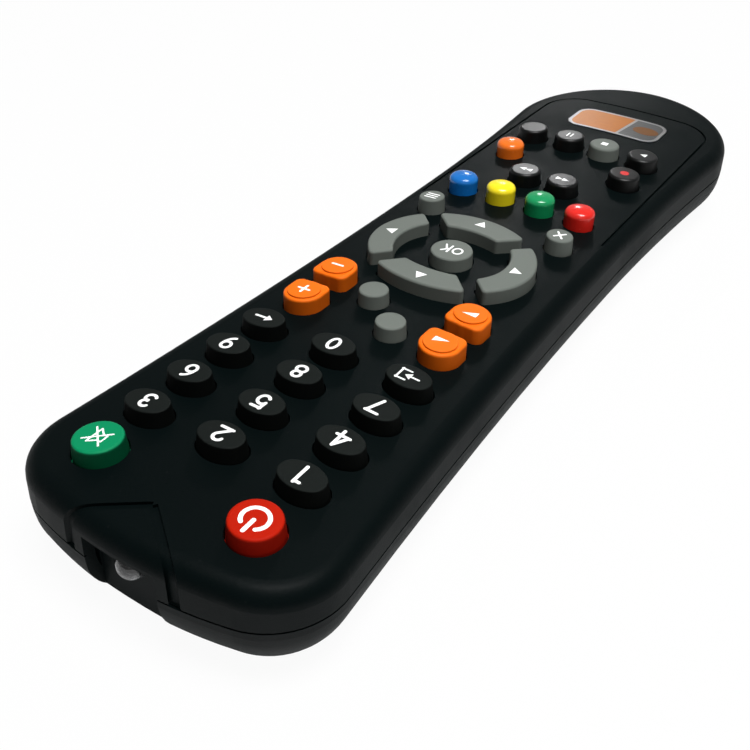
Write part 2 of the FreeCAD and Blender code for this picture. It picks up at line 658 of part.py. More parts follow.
def base_of_key(name, prism, high, plunger_place=(0, 0)):
    """What every key has under its top: a column, a flange that keeps it in and a plunger."""
    column = prism(name + "Column", "0", flange_bottom, high)
    flange = prism(name + "Flange", "flange_width", flange_bottom, flange_top)
    plunger = pillar(name + "Plunger", "plunger_radius", *plunger_place,
                     "board_top + key_travel + plunger_play", flange_bottom)
    return [column, flange, plunger]


def number_key(name, column):
    level = panel_level(column)
    top = narrowing_oval(name + "Top", "number_rise", level)
    solid = fuse(name + "Solid", base_of_key(name, number_prism, level) + [top])
    return topped(name, solid, column, "number_rise", "number_edge")


def round_key(radius, change, rise, edge):
    def make(name, column):
        level = panel_level(column)
        top = narrowing(name + "Top", (radius, change), rise, level)
        solid = fuse(name + "Solid", base_of_key(name, round_prism(radius), level) + [top])
        return topped(name, solid, column, rise, edge)
    return make


def volume_key(way):
    def make(name, column):
        high = f"{panel_level(column)} + volume_rise"
        solid = fuse(name + "Solid", base_of_key(name, volume_prism(way), high))
        shoulder = topped(name, solid, column, "volume_shoulder", "volume_edge")
        disc = pillar(name + "Raised", "volume_disc", 0, 0, panel_level(column), f"{high} + {SPARE}")
        raised = topped(name + "Raised", disc, column, "volume_rise", "disc_edge")
        return fuse(name + "Whole", [shoulder, raised])
    return make


def arrow_key(prism, plunger_place):
    def make(name, column):
        high = f"{panel_level(column)} + pad_rise + {SPARE}"
        solid = fuse(name + "Solid", base_of_key(name, prism, high, plunger_place))
        return topped(name, solid, column, "pad_rise", "pad_edge")
    return make


def dome_key(rise):
    def make(name, column):
        level = panel_level(column)
        high = f"{level} + {rise} + {SPARE}"
        solid = fuse(name + "Solid", base_of_key(name, round_prism("dome_radius"), high))
        ball = doc.addObject("Part::Sphere", name + "Ball")
        bind(ball, "Radius", "dome_curve")
        place(ball, (0, 0, f"{level} + {rise} - dome_curve"))
        trimmed = common(name + "Trimmed", solid, ball)
        return round_faces(name + "Rounded", trimmed, size["dome_edge"],
                           lambda surface: isinstance(surface, Part.Sphere))
    return make


end_plunger = "(pad_half_width + end_inner_width) / 2"
side_plunger = "(pad_half_length + side_inner_length) / 2"
pad_up = ring_prism(90, "end_inner_length", "end_inner_width")
pad_down = ring_prism(270, "end_inner_length", "end_inner_width")
pad_right = ring_prism(0, "side_inner_length", "side_inner_width")
pad_left = ring_prism(180, "side_inner_length", "side_inner_width")
power = round_key("power_radius", "power_inset", "power_rise", "power_edge")
small = round_key("small_radius", "small_inset", "small_rise", "small_edge")
corner = round_key("corner_key_radius", "small_inset", "corner_key_rise", "small_edge")
okay = round_key("okay_radius", "okay_inset", "okay_rise", "small_edge")
tape = round_key("tape_radius", "tape_inset", "tape_rise", "tape_edge")
power_hole = round_prism("power_radius")
small_hole = round_prism("small_radius")
corner_hole = round_prism("corner_key_radius")
dome_hole = round_prism("dome_radius")
tape_hole = round_prism("tape_radius")
NUMBER_NAMES = [["key_1", "key_2", "key_3"], ["key_4", "key_5", "key_6"], ["key_7", "key_8", "key_9"],
                ["key_source", "key_0", "key_return"]]

KEYS = [
    ("key_power", "-number_column", "power_row", power, power_hole),
    ("key_mute", "number_column", "power_row", power, power_hole),
    ("key_volume_up", "-volume_column", "volume_upper_row", volume_key(-1), volume_prism(-1)),
    ("key_volume_down", "-volume_column", "volume_lower_row", volume_key(1), volume_prism(1)),
    ("key_channel_up", "volume_column", "volume_upper_row", volume_key(-1), volume_prism(-1)),
    ("key_channel_down", "volume_column", "volume_lower_row", volume_key(1), volume_prism(1)),
    ("key_language", "language_column", "language_row", small, small_hole),
    ("key_picture", "picture_column", "picture_row", small, small_hole),
    ("key_up", "0", "pad_row", arrow_key(pad_up, (0, end_plunger)), pad_up),
    ("key_down", "0", "pad_row", arrow_key(pad_down, (0, f"-{end_plunger}")), pad_down),
    ("key_left", "0", "pad_row", arrow_key(pad_left, (f"-{side_plunger}", 0)), pad_left),
    ("key_right", "0", "pad_row", arrow_key(pad_right, (side_plunger, 0)), pad_right),
    ("key_ok", "0", "pad_row", okay, round_prism("okay_radius")),
    ("key_exit", "-corner_column", "corner_row", corner, corner_hole),
    ("key_menu", "corner_column", "corner_row", corner, corner_hole),
    ("key_red", "-dome_outer_column", "dome_row", dome_key("dome_rise"), dome_hole),
    ("key_green", "-dome_inner_column", "dome_row", dome_key("dome_rise"), dome_hole),
    ("key_yellow", "dome_inner_column", "dome_row", dome_key("dome_rise"), dome_hole),
    ("key_blue", "dome_outer_column", "dome_row", dome_key("dome_rise"), dome_hole),
    ("key_rewind", "-pair_column", "pair_row", tape, tape_hole),
    ("key_forward", "pair_column", "pair_row", tape, tape_hole),
    ("key_record", "-side_column", "side_row", tape, tape_hole),
    ("key_info", "side_column", "side_row", dome_key("info_rise"), dome_hole),
    ("key_play", "-tape_outer_column", "tape_row", tape, tape_hole),
    ("key_stop", "-tape_inner_column", "tape_row", tape, tape_hole),
    ("key_pause", "tape_inner_column", "tape_row", tape, tape_hole),
    ("key_guide", "tape_outer_column", "tape_row", tape, tape_hole),
]
for index, names in enumerate(NUMBER_NAMES):
    for name, column in zip(names, ("-number_column", "0", "number_column")):
        KEYS.append((name, column, f"number_row - {index} * number_pitch", number_key, number_prism))

PLUNGERS = {"key_up": ("0", end_plunger), "key_down": ("0", f"-{end_plunger}"),
            "key_left": (f"-{side_plunger}", "0"), "key_right": (side_plunger, "0")}
nodes = {}


def finish(node, thing, at=None):
    """Names a sub-part's last object after its node and puts it in its place."""
    thing.Label = node
    if at:
        place(thing, at)
    nodes[node] = thing
    return thing


def move(thing, column, row):
    """Shifts a tool over the case, and leaves its height."""
    for axis, value in (("x", column), ("y", row)):
        thing.setExpression(f".Placement.Base.{axis}", cells(value))
    return thing


def key_title(node):
    return "".join(word.capitalize() for word in node.split("_"))


key_holes = []
sheet_holes = []
for node, column, row, make_key, make_hole in KEYS:
    title = key_title(node)
    row = f"(({row}) * {stretch})"
    finish(node, make_key(title, column), (column, row, 0))
    hole = make_hole(title + "Hole", "key_clearance", f"{ceiling} - {SPARE}", f"panel_height + {SPARE}")
    key_holes.append(move(hole, column, row))
    across, along = PLUNGERS.get(node, ("0", "0"))
    passage = pillar(title + "Passage", "plunger_radius + plunger_gap", f"{column} + {across}",
                     f"{row} + {along}", f"board_top - {SPARE}", f"board_top + sheet_thickness + {SPARE}")
    sheet_holes.append(passage)


def shell_block(name, inward, drop):
    """The top cover's outer form, or the same form a little smaller all round."""
    plan = inset(name + "Plan", outline, inward) if inward != "0" else outline
    height = f"panel_height - parting_height + {SPARE}"
    leaning = extrude(name + "Leaning", plan, 1, height, "-cover_taper")
    crowned = common(name + "Crowned", leaning, crown(name + "Crown", f"0 - {drop}"))
    return crowned


def recess_box(name, low, high):
    """The space in front of the diode."""
    return block(name, middle("recess_half_width"), (recess_face, "case_length"), (low, high))


def recess_backing(name, low, high):
    """The wall behind that space."""
    return block(name, middle("recess_half_width + recess_wall"),
                 (f"{recess_face} - recess_wall", f"{recess_face} + {JOIN}"), (low, high))


def diode_hole(name):
    return rod(name, "diode_radius + diode_gap", "2 * recess_wall + recess_depth",
               (0, "case_length / 2", "diode_height"), LIE_ALONG)


def badge_block(name, grow, low, high):
    corner_radius = size["badge_corner"]
    return slab(name, middle(f"badge_length / 2 + {grow}"),
                (f"badge_place - case_length / 2 - badge_width / 2 - {grow}",
                 f"badge_place - case_length / 2 + badge_width / 2 + {grow}"),
                (low, high), corner_radius)


def nose_groove():
    """Two narrow blocks that meet in a point and run out over the nose."""
    arms = []
    for side, angle in (("Right", "nose_groove_slope"), ("Left", "180 - nose_groove_slope")):
        arm = doc.addObject("Part::Box", "NoseGroove" + side)
        bind(arm, "Length", "2 * nose_radius")
        bind(arm, "Width", "nose_groove_width")
        bind(arm, "Height", f"panel_height - parting_height + {SPARE}")
        half = "nose_groove_width / 2"
        point = "case_length / 2 - nose_groove_place"
        place(arm, (f"{half} * sin({angle})", f"{point} - {half} * cos({angle})", "parting_height"),
              Rotation(UP, 0))
        arm.setExpression(".Placement.Rotation.Angle", cells(angle))
        arms.append(arm)
    return fuse("NoseGroove", arms)


def panel_groove():
    """A narrow channel round the lower keys, open towards the nose."""
    heights = ("parting_height", f"panel_height + {SPARE}")
    rings = []
    for part, grow, start in (("Outer", "panel_groove_width", "0"), ("Inner", "0", f"{SPARE}")):
        reach = size["panel_groove_corner"] + (size["panel_groove_width"] if part == "Outer" else 0)
        box = block("PanelGroove" + part + "Blank", middle(f"panel_groove_reach + {grow}"),
                    (f"panel_groove_end - case_length / 2 - {grow}",
                     f"-panel_groove_start * {stretch} + {start}"), heights)
        tail_side = -size["case_length"] / 4
        rings.append(rounded("PanelGroove" + part, box, reach,
                             lambda edge: is_upright(edge) and edge.BoundBox.YMax < tail_side))
    return cut("PanelGroove", *rings)


def top_cover():
    crowned = shell_block("Cover", "0", "0")
    outer = round_faces("CoverOuter", crowned, size["cover_edge_radius"], is_crown)
    lower = extrude("CoverLowerHollow", inset("CoverLowerPlan", outline, "wall"), 1,
                    "border_height - parting_height", "-cover_taper")
    upper = extrude("CoverUpperHollow", inset("CoverUpperPlan", outline, "panel_border"), 1,
                    f"{ceiling} - parting_height")
    shell = cut("CoverShell", outer, fuse("CoverHollow", [lower, upper]))
    bosses = [pillar("UpperBoss" + name, "upper_boss_radius", column, row, "parting_height",
                     f"{ceiling} + {JOIN}")
              for name, column, row in both_sides(SCREWS)]
    backing = recess_backing("CoverBacking", "parting_height", f"border_height + {JOIN}")
    solid = fuse("CoverSolid", [shell, backing] + bosses)
    pilots = [pillar("Pilot" + name, "screw_radius + pilot_gap", column, row,
                     f"parting_height - {SPARE}", "parting_height + screw_reach + pilot_spare")
              for name, column, row in both_sides(SCREWS)]
    core = shell_block("Core", "groove_depth", "groove_depth")
    grooves = fuse("GrooveTools", [nose_groove(), panel_groove()])
    core_edge = size["cover_edge_radius"] - size["groove_depth"]
    marks = cut("GrooveCutter", grooves, round_faces("CoreRounded", core, core_edge, is_crown))
    pocket = badge_block("BadgePocket", "badge_gap", "panel_height - badge_sink", f"panel_height + {SPARE}")
    recess = recess_box("CoverRecess", f"parting_height - {SPARE}", "recess_height")
    tools = fuse("CoverTools", pilots + key_holes + [pocket, recess, diode_hole("CoverDiodeHole")])
    return cut("TopCover", cut("CoverCarved", solid, marks), tools)


def bottom_cover():
    outer_blank = extrude("CaseBlank", outline, -1, "parting_height - foot_rise", "-case_draft")
    lowest = size["foot_rise"] + TINY
    outer = rounded("CaseOuter", outer_blank, size["case_edge_radius"],
                    lambda edge: edge.BoundBox.ZMax < lowest)
    hollow_blank = extrude("CaseHollowBlank", inset("CaseHollowPlan", outline, "wall"), -1,
                           "parting_height - foot_rise - floor_thickness", "-case_draft")
    inner_radius = size["case_edge_radius"] - size["floor_thickness"]
    hollow = rounded("CaseHollow", hollow_blank, inner_radius,
                     lambda edge: edge.BoundBox.ZMax < lowest + size["floor_thickness"])
    shell = cut("CaseShell", outer, hollow)
    inside = "foot_rise + floor_thickness / 2"
    backing = common("CaseBackingTrimmed", recess_backing("CaseBacking", inside, "parting_height"), outer)
    parts = [shell, backing]
    for name, column, row in both_sides(SCREWS):
        parts.append(pillar("LowerBoss" + name, "lower_boss_radius", column, row, inside,
                            "parting_height - boss_gap"))
    for side, way in SIDES:
        for end, row in (("Front", "front_post_row"), ("Back", "back_post_row")):
            parts.append(pillar(f"Post{end}{side}", "post_radius", f"{way} * post_column",
                                f"{row} * {stretch}", inside, board_bottom))
    parts.append(block("Tub", middle("bay_half_width + bay_wall"),
                       (f"{bay_back} - bay_wall", f"{bay_front} + bay_wall"), (inside, board_bottom)))
    parts.append(block("Ledge", middle("door_half_width + ledge_width"),
                       (f"{door_back} - ledge_width", f"{door_front} + hinge_reach + ledge_width"),
                       (inside, "ledge_top")))
    solid = fuse("CaseSolid", parts)
    tools = [block("Bay", middle("bay_half_width"), (bay_back, bay_front), (0, "bay_ceiling")),
             slab("DoorPocket", middle("door_half_width + door_gap"),
                  (f"{door_back} - door_gap", f"{door_front} + door_front_gap"),
                  (f"0 - {SPARE}", "foot_rise + door_thickness + door_gap"), size["door_corner"]),
             recess_box("CaseRecess", f"0 - {SPARE}", f"parting_height + {SPARE}"),
             diode_hole("CaseDiodeHole"),
             shadow_line()]
    for name, column, row in both_sides(SCREWS):
        tools.append(pillar("HeadBore" + name, "screw_head_radius + bore_gap", column, row,
                            f"0 - {SPARE}", "screw_seat"))
        tools.append(pillar("ShankHole" + name, "screw_radius + screw_hole_gap", column, row,
                            0, "parting_height"))
    for name, column, row in both_sides(FEET):
        tools.append(pillar("FootPocket" + name, "foot_radius + foot_gap", column, row, 0,
                            "foot_rise + foot_sink"))
    for side, way in SIDES:
        tools += hinge_tools(side, f"{way} * knuckle_column")
        tab = f"{way} * cell_column"
        tools.append(block("TabSlot" + side,
                           (f"{tab} - tab_half_width - tab_gap", f"{tab} + tab_half_width + tab_gap"),
                           (f"{bay_front} - contact_thickness - tab_gap", bay_front),
                           (f"bay_ceiling - {SPARE}", f"{board_bottom} + {SPARE}")))
    return cut("BottomCover", solid, fuse("CaseTools", tools))


def shadow_line():
    """A thin step round the rim of the bottom cover."""
    wide = extrude("ShadowOuter", inset("ShadowOuterPlan", outline, f"0 - {SPARE}"), -1, "reveal_height")
    narrow = extrude("ShadowInner", inset("ShadowInnerPlan", outline, "reveal_depth"), -1,
                     f"reveal_height + {SPARE}")
    return cut("ShadowLine", wide, narrow)


hinge_row = f"{door_front} + hinge_reach"
hinge_level = "(foot_rise + hinge_height)"


def hinge_tools(side, column):
    """The notch for a knuckle of the door, and the bore for its two stubs."""
    half = "(knuckle_half_width + hinge_gap)"
    notch = block("HingeNotch" + side, (f"{column} - {half}", f"{column} + {half}"),
                  (f"{door_front} - {JOIN}", f"{hinge_row} + knuckle_radius + 2 * hinge_gap"),
                  (f"0 - {SPARE}", f"{hinge_level} + knuckle_radius + 2 * hinge_gap"))
    reach = "knuckle_half_width + stub_length + hinge_gap"
    bore = rod("HingeBore" + side, "stub_radius + hinge_gap", f"2 * ({reach})",
               (f"{column} - ({reach})", hinge_row, hinge_level), LIE_ACROSS)
    return [notch, bore]


def battery_door():
    plate = slab("DoorPlate", middle("door_half_width"), (door_back, door_front),
                 ("foot_rise", "foot_rise + door_thickness"), size["door_corner"])
    parts = [plate]
    for side, way in SIDES:
        column = f"{way} * knuckle_column"
        limits = (f"{column} - knuckle_half_width", f"{column} + knuckle_half_width")
        reach = "knuckle_half_width + stub_length"
        parts.append(block("DoorArm" + side, limits, (f"{door_front} - {JOIN}", hinge_row),
                           (f"{hinge_level} - knuckle_radius", f"{hinge_level} + knuckle_radius / 2")))
        parts.append(rod("Knuckle" + side, "knuckle_radius", "2 * knuckle_half_width",
                         (f"{column} - knuckle_half_width", hinge_row, hinge_level), LIE_ACROSS))
        parts.append(rod("Stubs" + side, "stub_radius", f"2 * ({reach})",
                         (f"{column} - ({reach})", hinge_row, hinge_level), LIE_ACROSS))
    grips = []
    for number in range(GRIP_COUNT):
        start = f"{door_back} + grip_place + {number} * grip_pitch"
        grips.append(block(f"Grip{number}", middle("grip_half_width"), (start, f"{start} + grip_width"),
                           (f"0 - {SPARE}", "foot_rise + grip_depth")))
    return cut("BatteryDoor", fuse("DoorSolid", parts), fuse("DoorGrips", grips))


diode_tip = "(case_length / 2 - diode_sink)"
diode_back = f"({diode_tip} - diode_length)"
lead_row = f"({diode_back} - lead_reach)"


def board():
    plate = slab("BoardPlate", middle("board_half_width"), (board_back, board_front),
                 (board_bottom, "board_top"), size["board_corner"])
    holes = [pillar("BoardHole" + name, "upper_boss_radius + board_hole_gap", column, row,
                    f"{board_bottom} - {SPARE}", f"board_top + {SPARE}")
             for name, column, row in both_sides(SCREWS) if name.startswith("Nose")]
    for side, way in SIDES:
        lead = f"{way} * lead_column"
        half = "(lead_width / 2 + lead_gap)"
        holes.append(block("LeadHole" + side, (f"{lead} - {half}", f"{lead} + {half}"),
                           (f"{lead_row} - {half}", f"{lead_row} + {half}"),
                           (f"{board_bottom} - {SPARE}", f"board_top + {SPARE}")))
    return cut("CircuitBoard", plate, fuse("BoardHoles", holes))


def keypad_sheet():
    top = "board_top + sheet_thickness"
    plate = slab("SheetPlate", middle("board_half_width - sheet_margin"),
                 (f"{board_back} + sheet_margin", f"{board_front} - sheet_margin"), ("board_top", top),
                 size["board_corner"] - size["sheet_margin"])
    bosses = [pillar("SheetHole" + name, "upper_boss_radius + board_hole_gap", column, row,
                     f"board_top - {SPARE}", f"{top} + {SPARE}")
              for name, column, row in both_sides(SCREWS) if name.startswith("Nose")]
    return cut("KeypadSheet", plate, fuse("SheetHoles", bosses + sheet_holes))


def badge_plate():
    plate = badge_block("BadgeBlank", "0", "panel_height - badge_sink", f"panel_height + {SPARE}")
    return common("BadgePlate", plate, crown("BadgeCrown", "badge_rise"))


def infrared_diode():
    """A round body with a flange, its axis along the case and its dome at the nose."""
    dome = f"{diode_tip} - diode_radius"
    body = rod("DiodeBody", "diode_radius", "diode_length - diode_radius",
               (0, dome, "diode_height"), LIE_ALONG)
    flange = rod("DiodeFlange", "diode_flange_radius", "diode_flange",
                 (0, f"{diode_back} + diode_flange", "diode_height"), LIE_ALONG)
    ball = doc.addObject("Part::Sphere", "DiodeDome")
    bind(ball, "Radius", "diode_radius")
    place(ball, (0, dome, "diode_height"))
    return fuse("InfraredDiode", [body, flange, ball])


def diode_leads():
    parts = []
    half = "lead_width / 2"
    for side, way in SIDES:
        limits = (f"{way} * lead_column - {half}", f"{way} * lead_column + {half}")
        parts.append(block("LeadAlong" + side, limits, (f"{lead_row} - {half}", diode_back),
                           (f"diode_height - {half}", f"diode_height + {half}")))
        parts.append(block("LeadUp" + side, limits, (f"{lead_row} - {half}", f"{lead_row} + {half}"),
                           (f"diode_height - {half}", "board_top")))
    return fuse("DiodeLeads", parts)


def cell(name):
    """An AAA cell along +Y from its flat end, at its own axis."""
    can_length = "cell_length - button_height"
    can = rod(name + "Can", "cell_radius", can_length, (0, can_length, 0), LIE_ALONG)
    button = rod(name + "Button", "button_radius", f"button_height + {JOIN}",
                 (0, "cell_length", 0), LIE_ALONG)
    round_can = rounded(name + "Round", can, size["cell_edge"], lambda edge: edge.BoundBox.YLength < TINY)
    return fuse(name, [round_can, button])


front_contact = f"{bay_front} - contact_thickness"
back_contact = f"{bay_back} + contact_thickness"


def contact(name, column, along):
    """A contact plate in the bay."""
    return block(name, (f"{column} - contact_half_width", f"{column} + contact_half_width"), along,
                 ("contact_base", "contact_top"))


def terminal_plates():
    parts = []
    along = (front_contact, bay_front)
    for side, way in SIDES:
        column = f"{way} * cell_column"
        parts.append(contact("Terminal" + side, column, along))
        parts.append(block("TerminalTab" + side,
                           (f"{column} - tab_half_width", f"{column} + tab_half_width"),
                           along, ("contact_top", board_bottom)))
    return fuse("TerminalPlates", parts)


def bridge_plate():
    plate = block("BridgeBar", middle("cell_column + contact_half_width"), (bay_back, back_contact),
                  ("contact_base", "contact_top"))
    dimple = rod("Dimple", "dimple_radius", "dimple_height",
                 ("-cell_column", f"{back_contact} + dimple_height", "cell_height"), LIE_ALONG)
    return fuse("BridgePlate", [plate, dimple])


def spring(name, column, start, room):
    """One compressed contact spring, from a contact plate to a cell."""
    helix = doc.addObject("Part::Helix", name + "Path")
    helix.SegmentLength = HALF_TURN
    bind(helix, "Height", f"{room} - 2 * wire_radius - 2 * rest_gap")
    bind(helix, "Pitch", f"({room} - 2 * wire_radius - 2 * rest_gap) / spring_turns")
    bind(helix, "Radius", "spring_radius")
    wire = doc.addObject("Part::Circle", name + "Wire")
    bind(wire, "Radius", "wire_radius")
    place(wire, ("spring_radius", 0, 0), LIE_ALONG)
    sweep = doc.addObject("Part::Sweep", name)
    sweep.Sections = [wire]
    sweep.Spine = (helix, [])
    sweep.Frenet = True
    sweep.Solid = True
    return place(sweep, (column, start, "cell_height"), LIE_ALONG)


def contact_springs():
    room = "(spring_room - rest_gap)"
    front = spring("FrontSpring", "-cell_column", f"{front_contact} - rest_gap - wire_radius",
                   f"({room} - dimple_height)")
    back = spring("BackSpring", "cell_column", f"{back_contact} + {room} - rest_gap - wire_radius", room)
    pair = doc.addObject("Part::Compound", "ContactSprings")
    pair.Links = [front, back]
    return pair


def gathered(name, parts):
    """Separate solids of one node."""
    group = doc.addObject("Part::Compound", name)
    group.Links = parts
    return group


def hanging(name, column, row, length, width, height, standoff="0"):
    """A box that hangs under the circuit board."""
    return block(name, (f"{column} - {length} / 2", f"{column} + {length} / 2"),
                 (f"{row} * {stretch} - {width} / 2", f"{row} * {stretch} + {width} / 2"),
                 (f"{board_bottom} - {standoff} - {height}", f"{board_bottom} - {standoff}"))


def controller_chip():
    return hanging("ControllerChip", "0", "chip_row", "(2 * chip_half_length)", "(2 * chip_half_width)",
                   "chip_height", "chip_standoff")


def chip_pins():
    """Two rows of pins from the chip's sides down onto the board."""
    parts = []
    middle_height = f"{board_bottom} - chip_standoff - chip_height / 2"
    for side, way in (("Fore", 1), ("Aft", -1)):
        for number in range(PIN_COUNT):
            column = f"({number} - ({PIN_COUNT} - 1) / 2) * pin_pitch"
            limits = (f"{column} - pin_width / 2", f"{column} + pin_width / 2")
            inner = f"chip_row * {stretch} + {way} * chip_half_width"
            outer = f"chip_row * {stretch} + {way} * (chip_half_width + pin_foot)"
            knee = f"chip_row * {stretch} + {way} * (chip_half_width + pin_foot / 2)"
            outward = (inner, f"{knee} + {way} * pin_thickness")
            upright = (knee, f"{knee} + {way} * pin_thickness")
            foot = (knee, outer)
            if way < 0:
                outward, upright, foot = outward[::-1], upright[::-1], foot[::-1]
            title = f"Pin{side}{number}"
            parts.append(fuse(title, [
                block(title + "Out", limits, outward,
                      (f"{middle_height} - pin_thickness / 2", f"{middle_height} + pin_thickness / 2")),
                block(title + "Up", limits, upright, (f"{middle_height} - pin_thickness / 2", board_bottom)),
                block(title + "Foot", limits, foot, (f"{board_bottom} - pin_thickness", board_bottom))]))
    return gathered("ChipPins", parts)


def resonator():
    box = hanging("ResonatorBox", "0", "resonator_row", "resonator_length", "resonator_width",
                  "resonator_height")
    return rounded("Resonator", box, size["resonator_corner"], is_upright)


def capacitor():
    return pillar("Capacitor", "capacitor_radius", "capacitor_column", f"capacitor_row * {stretch}",
                  f"{board_bottom} - capacitor_length", board_bottom)


def drive_transistor():
    return hanging("DriveTransistor", "transistor_column", "transistor_row", "transistor_length",
                   "transistor_width", "transistor_height")


def chip_resistors():
    parts = []
    for number in range(RESISTOR_COUNT):
        column = f"({number} - ({RESISTOR_COUNT} - 1) / 2) * resistor_pitch"
        parts.append(hanging(f"Resistor{number}", column, "resistor_row", "resistor_width",
                             "resistor_length", "resistor_height"))
    return gathered("ChipResistors", parts)


def case_screws():
    """Four screws that hold the covers together, their heads in the underside."""
    screws = []
    seat = "screw_seat"
    for name, column, row in both_sides(SCREWS):
        head = pillar("Head" + name, "screw_head_radius", column, row, f"{seat} - screw_head_height", seat)
        shank = pillar("Shank" + name, "screw_radius", column, row, f"{seat} - {JOIN}",
                       "parting_height + screw_reach")
        whole = fuse("Screw" + name, [head, shank])
        slots = []
        face = f"{seat} - screw_head_height"
        for way, (wide, deep) in (("Across", ("screw_slot_reach", "screw_slot / 2")),
                                  ("Along", ("screw_slot / 2", "screw_slot_reach"))):
            slots.append(block(f"Slot{way}{name}", (f"{column} - {wide}", f"{column} + {wide}"),
                               (f"{row} - {deep}", f"{row} + {deep}"),
                               (f"{face} - {SPARE}", f"{face} + screw_slot_depth")))
        screws.append(cut("Slotted" + name, whole, fuse("Cross" + name, slots)))
    return gathered("CaseScrews", screws)


def feet():
    """Four round rubber feet in pockets of the underside."""
    return gathered("Feet", [pillar("Foot" + name, "foot_radius", column, row, 0, "foot_rise + foot_sink")
                             for name, column, row in both_sides(FEET)])


finish("top_cover", top_cover())
finish("bottom_cover", bottom_cover())
finish("battery_door", battery_door())
finish("circuit_board", board())
finish("keypad_sheet", keypad_sheet())
finish("badge_plate", badge_plate())
finish("ir_led", infrared_diode())
finish("led_leads", diode_leads())
finish("cell_right", cell("RightCell"),
       ("cell_column", f"{front_contact} - rest_gap - cell_length", "cell_height"))
left_cell = finish("cell_left", cell("LeftCell"))
place(left_cell, ("-cell_column", f"{back_contact} + dimple_height + rest_gap + cell_length", "cell_height"),
      Rotation(UP, 180))
finish("terminal_plates", terminal_plates())
finish("bridge_plate", bridge_plate())
finish("contact_springs", contact_springs())
finish("controller_chip", controller_chip())
finish("chip_pins", chip_pins())
finish("resonator", resonator())
finish("capacitor", capacitor())
finish("drive_transistor", drive_transistor())
finish("chip_resistors", chip_resistors())
finish("case_screws", case_screws())
finish("feet", feet())
doc.recompute()

for thing in doc.Objects:
    if "Invalid" in thing.State or "Error" in thing.State:
        raise RuntimeError(f"{thing.Name} failed: {thing.State}")
for node, thing in nodes.items():
    if thing.Shape.isNull() or not thing.Shape.isValid():
        raise RuntimeError(f"{node} has no valid shape")

os.makedirs("parts", exist_ok=True)
for node, thing in nodes.items():
    thing.Shape.exportStep(f"parts/{node}.step")
    print(node, round(thing.Shape.Volume, 2), "mm3", len(thing.Shape.Solids), "solids")
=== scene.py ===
import json
import math
import bpy
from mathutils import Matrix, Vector
from mathutils.bvhtree import BVHTree

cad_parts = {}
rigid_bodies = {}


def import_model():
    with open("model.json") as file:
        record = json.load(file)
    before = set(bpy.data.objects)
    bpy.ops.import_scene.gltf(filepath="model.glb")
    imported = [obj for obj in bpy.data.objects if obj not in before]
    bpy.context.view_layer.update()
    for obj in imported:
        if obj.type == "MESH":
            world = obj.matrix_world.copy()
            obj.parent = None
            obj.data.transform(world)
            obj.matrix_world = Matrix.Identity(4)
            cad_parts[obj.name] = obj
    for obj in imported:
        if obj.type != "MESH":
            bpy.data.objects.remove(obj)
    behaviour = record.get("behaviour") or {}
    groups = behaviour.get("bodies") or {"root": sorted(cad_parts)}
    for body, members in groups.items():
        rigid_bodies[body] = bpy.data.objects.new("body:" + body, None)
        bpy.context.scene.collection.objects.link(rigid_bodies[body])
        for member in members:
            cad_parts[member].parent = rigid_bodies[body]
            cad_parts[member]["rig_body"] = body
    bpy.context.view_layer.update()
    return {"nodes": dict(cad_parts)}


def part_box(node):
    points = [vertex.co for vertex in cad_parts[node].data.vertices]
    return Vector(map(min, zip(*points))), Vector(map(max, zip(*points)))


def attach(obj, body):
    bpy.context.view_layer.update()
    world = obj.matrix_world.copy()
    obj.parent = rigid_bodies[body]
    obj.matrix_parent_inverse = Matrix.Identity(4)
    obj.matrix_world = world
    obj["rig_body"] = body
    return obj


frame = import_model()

mm = 0.001


# shader tools: a wire is a socket that can stand in a sum or a product
class Wire:
    def __init__(self, owner, socket):
        self.owner = owner
        self.socket = socket

    def reckon(self, operation, *values):
        return self.owner.node("Math", {"operation": operation}, dict(enumerate(values)))

    def __add__(self, other):
        return self.reckon("ADD", self, other)

    def __radd__(self, other):
        return self.reckon("ADD", other, self)

    def __sub__(self, other):
        return self.reckon("SUBTRACT", self, other)

    def __rsub__(self, other):
        return self.reckon("SUBTRACT", other, self)

    def __mul__(self, other):
        return self.reckon("MULTIPLY", self, other)

    def __rmul__(self, other):
        return self.reckon("MULTIPLY", other, self)

    def __truediv__(self, other):
        return self.reckon("DIVIDE", self, other)

    def __rtruediv__(self, other):
        return self.reckon("DIVIDE", other, self)

    def __abs__(self):
        return self.reckon("ABSOLUTE", self)


# a node tree in the making: node() adds a node with its settings and its sockets' values or wires
class Nodes:
    def __init__(self, tree):
        self.tree = tree

    def put(self, socket, value):
        if isinstance(value, Wire):
            self.tree.links.new(value.socket, socket)
        elif isinstance(value, tuple) and len(value) == 3 and socket.type == "RGBA":
            socket.default_value = (*value, 1)
        else:
            socket.default_value = value

    def node(self, kind, settings=None, sockets=None, output=0):
        made = self.tree.nodes.new("ShaderNode" + kind)
        for name, value in (settings or {}).items():
            setattr(made, name, value)
        for name, value in (sockets or {}).items():
            self.put(made.inputs[name], value)
        return Wire(self, made.outputs[output])


